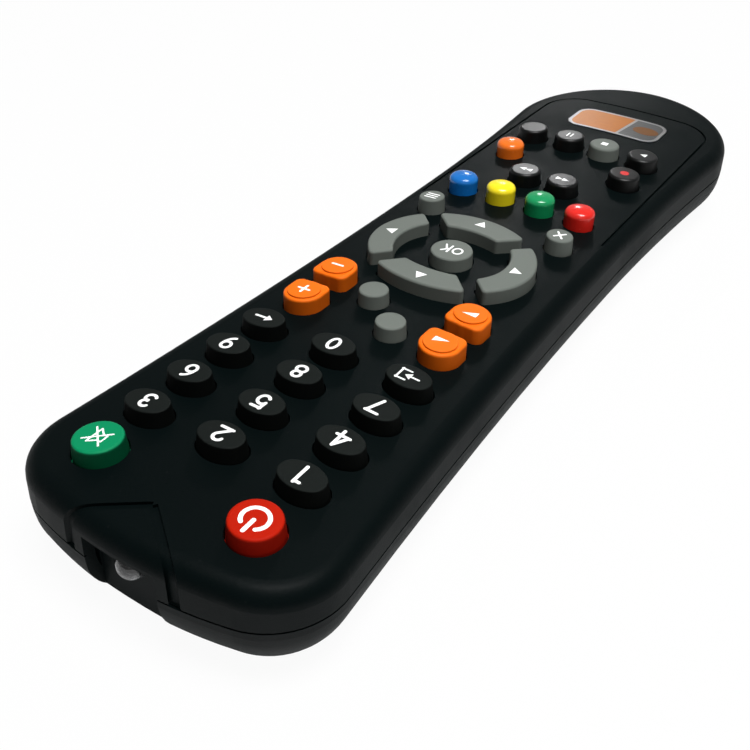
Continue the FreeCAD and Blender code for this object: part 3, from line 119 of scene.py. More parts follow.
# one material in the making, with its Principled shader
class Finish(Nodes):
    feeds = {"colour": "Base Color", "roughness": "Roughness", "metallic": "Metallic",
             "normal": "Normal"}

    def __init__(self, name, constants):
        self.material = bpy.data.materials.new(name)
        self.material.use_nodes = True
        super().__init__(self.material.node_tree)
        self.shader = self.tree.nodes["Principled BSDF"]
        for socket, value in constants.items():
            self.shader.inputs[socket].default_value = value

    def feed(self, **values):
        for name, value in values.items():
            self.put(self.shader.inputs[self.feeds[name]], value)

    def place(self, axis=None):
        whole = self.node("TexCoord", output="Object")
        return whole if axis is None else self.node("SeparateXYZ", {}, {0: whole}, axis)

    def stretched(self, scale):
        return self.node("Mapping", {}, {"Vector": self.place(), "Scale": scale})

    def noise(self, size, detail=2.0, roughness=0.5, where=None):
        return self.node("TexNoise", {}, {"Vector": where or self.place(), "Scale": 1 / size,
                                          "Detail": detail, "Roughness": roughness})

    def mix(self, mask, first, second):
        return self.node("Mix", {"data_type": "RGBA"}, {0: mask, 6: first, 7: second}, 2)

    def smooth(self, value, low, high):
        return self.node("MapRange", {"interpolation_type": "SMOOTHSTEP"},
                         {"Value": value, "From Min": low, "From Max": high})

    def bump(self, height, distance):
        return self.node("Bump", {}, {"Strength": 1.0, "Distance": distance, "Height": height})


def tinted(colour, factor):
    return tuple(channel * factor for channel in colour)


# moulded plastic: spark-eroded grain, slow changes of tone, finger smudges and specks of dust; on keys,
# a painted shade darkens the sideways-facing skirt
mouldLook = {"bend": 1.46, "grainGloss": 0.08, "smudgeEdge": (0.45, 0.7), "toneSize": 0.03,
             "dustSize": 0.0009, "dustEdge": (0.755, 0.8), "paintedShadeEdge": (0.35, 0.85),
             "paintedShadeChange": 1.1}


def mouldedPlastic(name, look):
    finish = Finish(name, {"IOR": mouldLook["bend"], "Specular IOR Level": look["shine"]})
    grain = finish.noise(look["grain"], detail=3.0, roughness=0.6)
    smudges = finish.noise(look["smudgeSize"], detail=4.0, roughness=0.62)
    smudge = finish.smooth(smudges, *mouldLook["smudgeEdge"])
    tone = finish.noise(mouldLook["toneSize"], detail=2.0)
    change = look["toneChange"]
    colour = finish.mix(tone, tinted(look["colour"], 1 - change), tinted(look["colour"], 1 + change))
    if "paintedSkirtShade" in look:
        # painted shade: a key's top keeps its colour, while its skirt, facing sideways, is painted
        # darker to stand for the shade that falls on it
        normal = finish.node("TexCoord", output="Normal")
        upward = finish.node("SeparateXYZ", {}, {0: normal}, 2)
        paintedShadeColour = finish.mix(tone, tinted(look["colour"], look["paintedSkirtShade"]),
                          tinted(look["colour"], look["paintedSkirtShade"] * mouldLook["paintedShadeChange"]))
        colour = finish.mix(finish.smooth(upward, *mouldLook["paintedShadeEdge"]), paintedShadeColour, colour)
    specks = finish.noise(mouldLook["dustSize"], detail=1.0)
    dust = finish.smooth(specks, *mouldLook["dustEdge"]) * look["dust"]
    finish.feed(colour=finish.mix(dust, colour, look["dustColour"]),
                roughness=look["roughness"] + grain * mouldLook["grainGloss"] + smudge * look["smudge"],
                normal=finish.bump(grain, look["depth"]))
    return finish.material


# satin case and keys
caseLook = {"colour": (0.001, 0.0026, 0.0027), "roughness": 0.42, "shine": 0.04, "grain": 0.00032,
            "depth": 0.000022, "smudgeSize": 0.018, "smudge": 0.07, "toneChange": 0.14,
            "dust": 0.1, "dustColour": (0.02, 0.022, 0.022)}
# the skirt values of the keys below set how dark the painted shade on their sides is
numberLook = dict(caseLook, colour=(0.0066, 0.0084, 0.0077), roughness=0.55, shine=0.05,
                  grain=0.00025, paintedSkirtShade=0.25)
greyLook = dict(caseLook, colour=(0.12, 0.134, 0.12), roughness=0.5, shine=0.12, grain=0.0002,
                depth=0.00001, toneChange=0.05)
blackKeyLook = dict(caseLook, colour=(0.0026, 0.003, 0.003), roughness=0.29, shine=0.26,
                    depth=0.000004, smudge=0.04, dust=0.0)
orangeLook = dict(greyLook, colour=(0.76, 0.135, 0.005), toneChange=0.04, paintedSkirtShade=0.75,
                  dustColour=(0.7, 0.3, 0.1))
powerKeyLook = dict(greyLook, colour=(0.38, 0.01, 0.002), shine=0.05, paintedSkirtShade=0.5)
muteKeyLook = dict(greyLook, colour=(0.002, 0.2, 0.08), shine=0.08, paintedSkirtShade=0.25)

# printed ink
whiteInkLook = {"colour": (0.86, 0.87, 0.86), "roughness": 0.42, "shine": 0.4, "grain": 0.00012,
                "depth": 0.000004, "smudgeSize": 0.006, "smudge": 0.05, "toneChange": 0.03,
                "dust": 0.0, "dustColour": (0.6, 0.6, 0.6)}
redInkLook = dict(whiteInkLook, colour=(0.5, 0.012, 0.01), roughness=0.35, shine=0.45,
                  toneChange=0.05, dustColour=(0.6, 0.2, 0.2))

# rubber and resin
keypadLook = {"colour": (0.09, 0.095, 0.095), "roughness": 0.62, "shine": 0.3, "grain": 0.0004,
              "depth": 0.00002, "smudgeSize": 0.01, "smudge": 0.08, "toneChange": 0.06,
              "dust": 0.4, "dustColour": (0.3, 0.3, 0.3)}
footLook = {"colour": (0.014, 0.014, 0.014), "roughness": 0.7, "shine": 0.3, "grain": 0.0005,
            "depth": 0.00004, "smudgeSize": 0.004, "smudge": 0.08, "toneChange": 0.1,
            "dust": 0.8, "dustColour": (0.25, 0.24, 0.22)}
chipLook = {"colour": (0.012, 0.012, 0.013), "roughness": 0.48, "shine": 0.4, "grain": 0.00015,
            "depth": 0.00001, "smudgeSize": 0.004, "smudge": 0.06, "toneChange": 0.1,
            "dust": 0.2, "dustColour": (0.2, 0.2, 0.2)}
resonatorLook = {"colour": (0.02, 0.075, 0.32), "roughness": 0.22, "shine": 0.5, "grain": 0.001,
                 "depth": 0.00003, "smudgeSize": 0.004, "smudge": 0.06, "toneChange": 0.12,
                 "dust": 0.1, "dustColour": (0.3, 0.3, 0.4)}

# colour keys: polished plastic with a clear skin over a faintly cloudy body
domeLook = {"bend": 1.49, "shine": 0.2, "coat": 0.5, "coatRoughness": 0.08, "cloudSize": 0.004,
            "cloud": (0.9, 1.08), "scuffSize": 0.0012, "scuffEdge": (0.55, 0.75), "roughness": 0.24,
            "scuff": 0.08, "waveSize": 0.0022, "depth": 0.00001}
domeColours = {"key_red": (0.62, 0.016, 0.01), "key_green": (0.006, 0.25, 0.085),
               "key_yellow": (0.82, 0.66, 0.012), "key_blue": (0.005, 0.135, 0.46),
               "key_info": (0.78, 0.15, 0.01)}


def domePlastic(name, colour):
    finish = Finish(name, {"IOR": domeLook["bend"], "Specular IOR Level": domeLook["shine"],
                           "Coat Weight": domeLook["coat"],
                           "Coat Roughness": domeLook["coatRoughness"]})
    cloud = finish.noise(domeLook["cloudSize"], detail=3.0)
    scuffs = finish.noise(domeLook["scuffSize"], detail=4.0, roughness=0.7)
    scuff = finish.smooth(scuffs, *domeLook["scuffEdge"])
    dark, light = domeLook["cloud"]
    finish.feed(colour=finish.mix(cloud, tinted(colour, dark), tinted(colour, light)),
                roughness=domeLook["roughness"] + scuff * domeLook["scuff"],
                normal=finish.bump(finish.noise(domeLook["waveSize"], detail=2.0), domeLook["depth"]))
    return finish.material


foilLook = {"dark": (0.2, 0.2, 0.2), "light": (0.34, 0.34, 0.34), "brushed": (1, 12, 1),
            "streakSize": 0.002, "roughness": 0.34, "streak": 0.15, "depth": 0.000006}


def silverFoil():
    finish = Finish("silver foil", {"Metallic": 1.0, "Specular IOR Level": 0.5})
    streaks = finish.noise(foilLook["streakSize"], detail=3.0, roughness=0.6,
                           where=finish.stretched(foilLook["brushed"]))
    finish.feed(colour=finish.mix(streaks, foilLook["dark"], foilLook["light"]),
                roughness=foilLook["roughness"] + streaks * foilLook["streak"],
                normal=finish.bump(streaks, foilLook["depth"]))
    return finish.material


lacquerLook = {"dark": (0.007, 0.009, 0.01), "light": (0.018, 0.021, 0.023), "bandSize": 0.0042,
               "waver": 0.4, "hazeSize": 0.003, "coat": 1.0, "coatRoughness": 0.04,
               "roughness": 0.25, "haze": 0.1, "depth": 0.00001}


def badgeLacquer():
    finish = Finish("badge lacquer", {"Coat Weight": lacquerLook["coat"],
                                      "Coat Roughness": lacquerLook["coatRoughness"]})
    bands = finish.node("TexWave", {"wave_type": "BANDS", "bands_direction": "Y"},
                        {"Vector": finish.place(), "Scale": 1 / lacquerLook["bandSize"],
                         "Distortion": lacquerLook["waver"]})
    haze = finish.noise(lacquerLook["hazeSize"], detail=3.0)
    finish.feed(colour=finish.mix(bands, lacquerLook["dark"], lacquerLook["light"]),
                roughness=lacquerLook["roughness"] + haze * lacquerLook["haze"],
                normal=finish.bump(haze, lacquerLook["depth"]))
    return finish.material


inlayLook = {"shine": 0.1, "coat": 0.1, "coatRoughness": 0.2, "pearlSize": 0.0011,
             "roughness": 0.28, "pearl": 0.1, "depth": 0.000008,
             "field": ((0.27, 0.085, 0.007), (0.38, 0.125, 0.012)),
             "drop": ((0.09, 0.034, 0.006), (0.14, 0.055, 0.01))}


def badgeOrange(name, colours):
    finish = Finish(name, {"Coat Weight": inlayLook["coat"], "Specular IOR Level": inlayLook["shine"],
                           "Coat Roughness": inlayLook["coatRoughness"]})
    pearl = finish.noise(inlayLook["pearlSize"], detail=4.0, roughness=0.6)
    finish.feed(colour=finish.mix(pearl, *colours),
                roughness=inlayLook["roughness"] + pearl * inlayLook["pearl"],
                normal=finish.bump(pearl, inlayLook["depth"]))
    return finish.material


# clear epoxy with a smoky core, its colour mottled dark and pale at random
lensLook = {"bend": 1.54, "clear": 0.7, "coat": 0.5, "coatRoughness": 0.03, "mottleSize": 0.0016,
            "mottleEdge": (0.4, 0.62), "core": (0.02, 0.021, 0.023), "line": (0.22, 0.23, 0.235),
            "roughness": 0.06, "mottle": 0.08, "depth": 0.00003}


def diodeLens():
    finish = Finish("clear diode lens", {"IOR": lensLook["bend"], "Coat Weight": lensLook["coat"],
                                         "Transmission Weight": lensLook["clear"],
                                         "Coat Roughness": lensLook["coatRoughness"]})
    mottle = finish.smooth(finish.noise(lensLook["mottleSize"], detail=3.0), *lensLook["mottleEdge"])
    finish.feed(colour=finish.mix(mottle, lensLook["core"], lensLook["line"]),
                roughness=lensLook["roughness"] + mottle * lensLook["mottle"],
                normal=finish.bump(mottle, lensLook["depth"]))
    return finish.material


# solder mask over a woven board, with raised copper tracks
boardLook = {"weave": ((0.006, 0.05, 0.018), (0.009, 0.075, 0.028)), "weaveSize": 0.0012,
             "weaveGap": 0.08, "track": (0.03, 0.17, 0.06), "trackSize": 0.004,
             "trackEdge": (0.03, 0.06), "trackShare": 0.7, "coat": 0.5, "coatRoughness": 0.15,
             "roughness": 0.32, "trackGloss": 0.1, "depth": 0.00003}


def boardLaminate():
    finish = Finish("board solder mask", {"Coat Weight": boardLook["coat"],
                                          "Coat Roughness": boardLook["coatRoughness"]})
    weave = finish.node("TexBrick", {"offset": 0.5},
                        {"Vector": finish.place(), "Scale": 1 / boardLook["weaveSize"],
                         "Mortar Size": boardLook["weaveGap"]})
    edges = finish.node("TexVoronoi", {"feature": "DISTANCE_TO_EDGE"},
                        {"Vector": finish.place(), "Scale": 1 / boardLook["trackSize"]})
    track = 1 - finish.smooth(edges, *boardLook["trackEdge"])
    base = finish.mix(weave, *boardLook["weave"])
    finish.feed(colour=finish.mix(track * boardLook["trackShare"], base, boardLook["track"]),
                roughness=boardLook["roughness"] + track * boardLook["trackGloss"],
                normal=finish.bump(track, boardLook["depth"]))
    return finish.material


metalLook = {"streakSize": 0.0008, "streak": 0.12, "tarnishSize": 0.003, "tarnishEdge": (0.55, 0.75),
             "tarnish": 0.6, "tarnishShare": 0.4, "tarnishGloss": 0.15, "depth": 0.000006}
platings = {"nickel plating": {"colour": (0.66, 0.64, 0.58), "roughness": 0.2, "drawn": (1, 6, 1)},
            "tinned wire": {"colour": (0.62, 0.62, 0.62), "roughness": 0.3, "drawn": (6, 1, 1)},
            "zinc plating": {"colour": (0.5, 0.5, 0.47), "roughness": 0.32, "drawn": (1, 1, 8)}}


def platedMetal(name):
    look = platings[name]
    finish = Finish(name, {"Metallic": 1.0})
    streaks = finish.noise(metalLook["streakSize"], detail=4.0, roughness=0.6,
                           where=finish.stretched(look["drawn"]))
    patches = finish.noise(metalLook["tarnishSize"], detail=3.0)
    tarnish = finish.smooth(patches, *metalLook["tarnishEdge"])
    finish.feed(colour=finish.mix(tarnish * metalLook["tarnishShare"], look["colour"],
                                  tinted(look["colour"], metalLook["tarnish"])),
                roughness=(look["roughness"] + streaks * metalLook["streak"]
                           + tarnish * metalLook["tarnishGloss"]),
                normal=finish.bump(streaks, metalLook["depth"]))
    return finish.material


# AAA cells: a dark printed jacket with a coppery band at the button end, bare steel at both ends
cellLook = {"jacket": ((0.012, 0.014, 0.018), (0.02, 0.023, 0.028)), "band": (0.55, 0.24, 0.08),
            "steel": (0.62, 0.62, 0.6), "bandEdge": (0.7, 0.705), "topEdge": (0.975, 0.977),
            "baseEdge": (0.012, 0.014), "bandMetal": 0.6, "speckleSize": 0.0006, "coat": 0.6,
            "coatRoughness": 0.08, "roughness": 0.26, "speckle": 0.1, "depth": 0.000006}


def cellJacket(name, buttonAhead):
    low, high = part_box(name)
    finish = Finish(name + " jacket", {"Coat Weight": cellLook["coat"],
                                       "Coat Roughness": cellLook["coatRoughness"]})
    reach = (finish.place(1) - low.y) / (high.y - low.y)
    if not buttonAhead:
        reach = 1 - reach
    band = finish.smooth(reach, *cellLook["bandEdge"])
    top = finish.smooth(reach, *cellLook["topEdge"])
    steel = top + (1 - finish.smooth(reach, *cellLook["baseEdge"]))
    speckle = finish.noise(cellLook["speckleSize"], detail=2.0)
    printed = finish.mix(band, finish.mix(speckle, *cellLook["jacket"]), cellLook["band"])
    finish.feed(colour=finish.mix(steel, printed, cellLook["steel"]),
                metallic=steel + band * cellLook["bandMetal"],
                roughness=cellLook["roughness"] + speckle * cellLook["speckle"],
                normal=finish.bump(speckle, cellLook["depth"]))
    return finish.material


sleeveLook = {"sleeve": (0.012, 0.014, 0.03), "stripe": (0.5, 0.5, 0.52), "stripeEdge": (0.84, 0.86),
              "grainSize": 0.0005, "coat": 0.3, "coatRoughness": 0.2, "roughness": 0.3,
              "grain": 0.1, "depth": 0.000008}


def capacitorSleeve():
    low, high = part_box("capacitor")
    finish = Finish("capacitor sleeve", {"Coat Weight": sleeveLook["coat"],
                                         "Coat Roughness": sleeveLook["coatRoughness"]})
    across = (finish.place(0) - low.x) / (high.x - low.x)
    stripe = finish.smooth(across, *sleeveLook["stripeEdge"])
    grain = finish.noise(sleeveLook["grainSize"], detail=2.0)
    finish.feed(colour=finish.mix(stripe, sleeveLook["sleeve"], sleeveLook["stripe"]),
                roughness=sleeveLook["roughness"] + grain * sleeveLook["grain"],
                normal=finish.bump(grain, sleeveLook["depth"]))
    return finish.material


ceramicLook = {"body": (0.012, 0.012, 0.012), "end": (0.6, 0.6, 0.6), "endEdge": (0.00062, 0.00066),
               "grainSize": 0.0002, "roughness": 0.35, "grain": 0.1, "depth": 0.000006}


def ceramicBody():
    low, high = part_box("chip_resistors")
    finish = Finish("resistor ceramic", {})
    fromMiddle = abs(finish.place(1) - (low.y + high.y) / 2)
    end = finish.smooth(fromMiddle, *ceramicLook["endEdge"])
    grain = finish.noise(ceramicLook["grainSize"], detail=2.0)
    finish.feed(colour=finish.mix(end, ceramicLook["body"], ceramicLook["end"]), metallic=end,
                roughness=ceramicLook["roughness"] + grain * ceramicLook["grain"],
                normal=finish.bump(grain, ceramicLook["depth"]))
    return finish.material


def dress(node, material):
    mesh = frame["nodes"][node].data
    mesh.materials.clear()
    mesh.materials.append(material)


casePlastic = mouldedPlastic("case plastic", caseLook)
numberPlastic = mouldedPlastic("number key plastic", numberLook)
greyPlastic = mouldedPlastic("grey key plastic", greyLook)
blackPlastic = mouldedPlastic("small black key plastic", blackKeyLook)
whiteInk = mouldedPlastic("white print", whiteInkLook)
redInk = mouldedPlastic("red print", redInkLook)
silver = silverFoil()
lacquer = badgeLacquer()
badgeInlay = badgeOrange("orange badge inlay", inlayLook["field"])
badgeDrop = badgeOrange("dark orange badge inlay", inlayLook["drop"])

finishes = {"top_cover": casePlastic, "bottom_cover": casePlastic, "battery_door": casePlastic,
            "key_power": mouldedPlastic("red power key plastic", powerKeyLook),
            "key_mute": mouldedPlastic("green mute key plastic", muteKeyLook),
            "badge_plate": lacquer, "ir_led": diodeLens(), "circuit_board": boardLaminate(),
            "keypad_sheet": mouldedPlastic("keypad rubber", keypadLook),
            "cell_right": cellJacket("cell_right", True), "cell_left": cellJacket("cell_left", False),
            "resonator": mouldedPlastic("dipped resonator resin", resonatorLook),
            "capacitor": capacitorSleeve(), "chip_resistors": ceramicBody(),
            "feet": mouldedPlastic("foot rubber", footLook)}
orange = mouldedPlastic("orange key plastic", orangeLook)
resin = mouldedPlastic("chip resin", chipLook)
nickel = platedMetal("nickel plating")
tinned = platedMetal("tinned wire")
zinc = platedMetal("zinc plating")
groups = (
    (greyPlastic, ["key_language", "key_picture", "key_up", "key_down", "key_left", "key_right",
                   "key_ok", "key_exit", "key_menu", "key_stop"]),
    (orange, ["key_volume_up", "key_volume_down", "key_channel_up", "key_channel_down"]),
    (blackPlastic, ["key_rewind", "key_forward", "key_record", "key_play", "key_pause",
                    "key_guide"]),
    (numberPlastic, [f"key_{digit}" for digit in range(10)] + ["key_source", "key_return"]),
    (resin, ["controller_chip", "drive_transistor"]),
    (nickel, ["terminal_plates", "bridge_plate", "contact_springs"]),
    (tinned, ["led_leads", "chip_pins"]),
    (zinc, ["case_screws"]),
)
for material, nodes in groups:
    finishes.update({node: material for node in nodes})
for node, colour in domeColours.items():
    finishes[node] = domePlastic(node + " dome", colour)
for node in frame["nodes"]:
    dress(node, finishes[node])
print("finishes:", len(finishes), "nodes dressed")


# prints: strokes and filled figures in millimetres, laid on the key that carries them
printLook = {"lift": 0.012, "thick": 0.03, "stroke": 0.56, "tier": 0.002, "run": 0.25, "above": 50}
surfaces = {}


def surfaceOf(node):
    if node not in surfaces:
        mesh = frame["nodes"][node].data
        mesh.calc_loop_triangles()
        points = [vertex.co.copy() for vertex in mesh.vertices]
        faces = [tuple(triangle.vertices) for triangle in mesh.loop_triangles]
        surfaces[node] = BVHTree.FromPolygons(points, faces)
    return surfaces[node]


def levelAt(node, x, y):
    start = Vector((x, y, printLook["above"] * mm))
    return surfaceOf(node).ray_cast(start, Vector((0, 0, -1)))[0].z


def topCentre(node):
    low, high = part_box(node)
    return (low.x + high.x) / 2 / mm, (low.y + high.y) / 2 / mm


def pieceBody(node):
    return frame["nodes"][node]["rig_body"]


def inlay(name, node, vertices, faces, material):
    # a thin skin on a node, riding with it
    mesh = bpy.data.meshes.new(name)
    mesh.from_pydata(vertices, [], faces)
    mesh.materials.append(material)
    mesh.update()
    piece = bpy.data.objects.new(name, mesh)
    bpy.context.scene.collection.objects.link(piece)
    thick = piece.modifiers.new("thickness", "SOLIDIFY")
    thick.thickness = printLook["thick"] * mm
    thick.offset = -1
    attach(piece, pieceBody(node))


def sweep(centre, radiusX, radiusY, start, end, steps=14):
    # points of an arc, angles in degrees
    angles = [math.radians(start + (end - start) * step / steps) for step in range(steps + 1)]
    return [(centre[0] + radiusX * math.cos(angle), centre[1] + radiusY * math.sin(angle))
            for angle in angles]


def oval(centre, radiusX, radiusY):
    return sweep(centre, radiusX, radiusY, 90, 450, steps=28)


def divided(points):
    # more points along long runs, so that a stroke can follow a curved top
    result = [points[0]]
    for start, end in zip(points, points[1:]):
        count = max(1, math.ceil(math.dist(start, end) / printLook["run"]))
        for part in range(1, count + 1):
            result.append((start[0] + (end[0] - start[0]) * part / count,
                           start[1] + (end[1] - start[1]) * part / count))
    return result


def strokeEdges(points, width):
    # left and right edge of a stroke of even width
    left, right = [], []
    for index, point in enumerate(points):
        before = points[max(index - 1, 0)]
        after = points[min(index + 1, len(points) - 1)]
        way = Vector((after[0] - before[0], after[1] - before[1])).normalized()
        left.append((point[0] - way.y * width / 2, point[1] + way.x * width / 2))
        right.append((point[0] + way.y * width / 2, point[1] - way.x * width / 2))
    return left, right


def addFigure(points, faces, corners):
    start = len(points)
    points += corners
    faces.append(tuple(range(start, start + len(corners))))


def roundEnd(points, faces, tip, inner, width):
    # half a disc beyond the end of a stroke
    heading = math.degrees(math.atan2(tip[1] - inner[1], tip[0] - inner[0]))
    disc = sweep(tip, width / 2, width / 2, heading - 90, heading + 90, steps=8)
    addFigure(points, faces, disc)


def addStroke(points, faces, line, width):
    line = divided(line)
    left, right = strokeEdges(line, width)
    if math.dist(line[0], line[-1]) > width:
        roundEnd(points, faces, line[0], line[1], width)
        roundEnd(points, faces, line[-1], line[-2], width)
    start = len(points)
    for pair in zip(left, right):
        points += pair
    for index in range(len(left) - 1):
        first = start + 2 * index
        faces.append((first, first + 1, first + 3, first + 2))


def laySign(node, strokes=(), figures=(), shift=(0, 0), width=printLook["stroke"], material=whiteInk,
            turn=0, size=1.0):
    # each stroke and figure rises a little over the one before, so that none shares a plane
    points, faces, tiers = [], [], []
    for tier, shape in enumerate([*strokes, *figures]):
        if tier < len(strokes):
            addStroke(points, faces, shape, width)
        else:
            addFigure(points, faces, shape)
        tiers += [tier] * (len(points) - len(tiers))
    centreX, centreY = topCentre(node)
    angle = math.radians(turn)
    vertices = []
    for (x, y), tier in zip(points, tiers):
        u = (centreX + shift[0] + size * (x * math.cos(angle) - y * math.sin(angle))) * mm
        v = (centreY + shift[1] + size * (x * math.sin(angle) + y * math.cos(angle))) * mm
        rise = (printLook["lift"] + tier * printLook["tier"]) * mm
        vertices.append(Vector((u, v, levelAt(node, u, v) + rise)))
    inlay(node.replace("key", "print"), node, vertices, faces, material)


# digits about 3.7 mm high: centre lines of the strokes, in millimetres
digitStrokes = {
    "0": [oval((0, 0), 0.86, 1.54)],
    "1": [[(0.28, 1.82), (0.28, -1.82)], [(-0.62, 1.54), (0.3, 1.54)]],
    "2": [sweep((0, 0.68), 0.84, 0.86, 165, -28) + [(-0.72, -1.3)], [(-1.12, -1.54), (1.1, -1.54)]],
    "3": [sweep((-0.05, 0.74), 0.8, 0.8, 150, -90), sweep((-0.05, -0.7), 0.9, 0.84, 90, -150)],
    "4": [[(0.3, 1.6), (-0.95, -0.72)], [(-1.2, -0.72), (1.15, -0.72)],
          [(0.42, 1.82), (0.42, -1.82)]],
    "5": [[(0.95, 1.54), (-0.8, 1.54)], [(-0.68, 1.7), (-0.8, 0.05)],
          sweep((-0.03, -0.45), 0.93, 1.09, 130, -145)],
    "6": [oval((0, -0.62), 0.88, 0.92), sweep((0.75, -0.6), 1.63, 2.25, 172, 100)],
    "7": [[(-1.1, 1.54), (1.08, 1.54)], [(0.88, 1.5), (-0.38, -1.82)]],
    "8": [oval((0, 0.78), 0.76, 0.77), oval((0, -0.72), 0.9, 0.83)],
    "9": [oval((0, 0.62), 0.88, 0.92), sweep((-0.75, 0.6), 1.63, 2.25, -8, -80)],
}


def layDigits():
    for digit, strokes in digitStrokes.items():
        laySign("key_" + digit, strokes)


powerLook = {"radius": 2.05, "stroke": 0.68, "gap": 38, "bar": (0.35, 2.75)}


def layPowerSign():
    radius, gap = powerLook["radius"], powerLook["gap"]
    ring = sweep((0, 0), radius, radius, 90 + gap, 450 - gap, steps=36)
    bar = [(0, end) for end in powerLook["bar"]]
    laySign("key_power", [ring, bar], width=powerLook["stroke"])


muteLook = {"stroke": 0.3,
            "speaker": [(-1.3, 0.75), (-0.5, 0.75), (0.75, 1.7), (0.75, -1.7), (-0.5, -0.75),
                        (-1.3, -0.75), (-1.3, 0.75)],
            "cross": [[(-1.7, 1.6), (1.8, -1.6)], [(-1.7, -1.6), (1.8, 1.6)]]}


def layMuteSign():
    speaker = muteLook["speaker"]
    sides = [[start, end] for start, end in zip(speaker, speaker[1:])]
    laySign("key_mute", sides + muteLook["cross"], width=muteLook["stroke"])


# OK in the middle of the ring, a cross and three bars on the keys beside it
letterLook = {
    "key_ok": {"width": 0.4, "strokes": [oval((-1.3, 0), 0.92, 1.1), [(0.45, 1.32), (0.45, -1.32)],
                                         [(0.5, -0.12), (1.75, 1.25)],
                                         [(0.95, 0.35), (1.85, -1.28)]]},
    "key_exit": {"width": 0.42, "strokes": [[(-0.85, 1.05), (0.85, -1.05)],
                                            [(-0.85, -1.05), (0.85, 1.05)]]},
    "key_menu": {"width": 0.36, "strokes": [[(-1.3, level), (1.3, level)]
                                            for level in (0.85, 0, -0.85)]},
}


def layLetters():
    for node, sign in letterLook.items():
        laySign(node, **sign)


# the ring's crescents are thickest a little inside their box
arrowLook = {"triangle": [(-1.3, -0.95), (1.3, -0.95), (0, 1.35)], "size": 0.92, "inward": 0.9,
             "turns": {"key_up": 0, "key_left": 90, "key_down": 180, "key_right": 270}}


def layArrows():
    inward = arrowLook["inward"]
    shifts = {0: (0, inward), 90: (-inward, 0), 180: (0, -inward), 270: (inward, 0)}
    for node, turn in arrowLook["turns"].items():
        laySign(node, figures=[arrowLook["triangle"]], shift=shifts[turn], turn=turn,
                size=arrowLook["size"])


tapeLook = {"size": 0.8, "stroke": 0.42, "wedge": [(-1.0, -1.1), (0.9, 0), (-1.0, 1.1)],
            "apart": 0.95, "squash": 0.8, "square": 0.95, "bars": (0.6, 1.1), "dot": 1.25}


def layTapeSigns():
    wedge, apart, squash = tapeLook["wedge"], tapeLook["apart"], tapeLook["squash"]
    pair = [[(x + side * apart, y * squash) for x, y in wedge] for side in (-1, 1)]
    half = tapeLook["square"]
    square = [(-half, -half), (half, -half), (half, half), (-half, half)]
    across, tall = tapeLook["bars"]
    bars = [[(x, -tall), (x, tall)] for x in (-across, across)]
    dot = sweep((0, 0), tapeLook["dot"], tapeLook["dot"], 0, 345, steps=23)
    signs = {"key_play": {"figures": [wedge]}, "key_forward": {"figures": pair},
             "key_rewind": {"figures": pair, "turn": 180}, "key_stop": {"figures": [square]},
             "key_pause": {"strokes": bars, "width": tapeLook["stroke"]},
             "key_record": {"figures": [dot], "material": redInk}}
    for node, sign in signs.items():
        laySign(node, size=tapeLook["size"], **sign)


volumeLook = {"stroke": 0.5, "minus": [(-1.15, 0), (1.15, 0)], "upright": [(0, 1.15), (0, -1.15)],
              "wedge": [(-1.35, -0.75), (1.35, -0.75), (1.35, 0.75)]}


def layVolumeSigns():
    minus, upright = volumeLook["minus"], volumeLook["upright"]
    laySign("key_channel_up", [minus, upright], width=volumeLook["stroke"])
    laySign("key_channel_down", [minus], width=volumeLook["stroke"])
    laySign("key_volume_up", figures=[volumeLook["wedge"]])
    laySign("key_volume_down", figures=[volumeLook["wedge"]], turn=180)


returnLook = {"width": 0.5, "strokes": [[(1.7, 0), (-1.1, 0)]],
              "figures": [[(-1.8, 0), (-0.5, -0.95), (-0.5, 0.95)]]}
# an arrow into an open frame
sourceLook = {"width": 0.36,
              "strokes": [[(0.1, 1.25), (1.9, 1.25)], [(1.75, 1.4), (1.75, -1.4)],
                          [(1.9, -1.25), (0.1, -1.25)], [(-1.9, 0), (-0.2, 0)]],
              "figures": [[(0.75, 0), (-0.4, 0.8), (-0.4, -0.8)]]}


def layOvalKeySigns():
    laySign("key_return", **returnLook)
    laySign("key_source", **sourceLook)


# badge: a silver rim round an orange field and a dark window with a plain oval
badgeLook = {"rim": 0.75, "corner": 3.5, "inset": 0.12, "leastCorner": 0.2, "divider": -2.6,
             "slant": 0.12, "oval": (3.3, 2.3), "ovalPlace": -7.6, "sliver": 0.01, "columns": 16,
             "rows": 14, "rimRise": 0.01, "fieldRise": 0.03, "ovalRise": 0.05}


def layField(name, node, rows, material, rise):
    # an inlay between two edges; rows hold a level and the places of its left and right edge
    centreX, centreY = topCentre(node)
    count = badgeLook["columns"]
    vertices, faces = [], []
    for level, left, right in rows:
        for column in range(count + 1):
            u = (centreX + left + (right - left) * column / count) * mm
            v = (centreY + level) * mm
            vertices.append(Vector((u, v, levelAt(node, u, v) + rise * mm)))
    for row in range(len(rows) - 1):
        for column in range(count):
            first = row * (count + 1) + column
            faces.append((first, first + 1, first + count + 2, first + count + 1))
    inlay(name, node, vertices, faces, material)


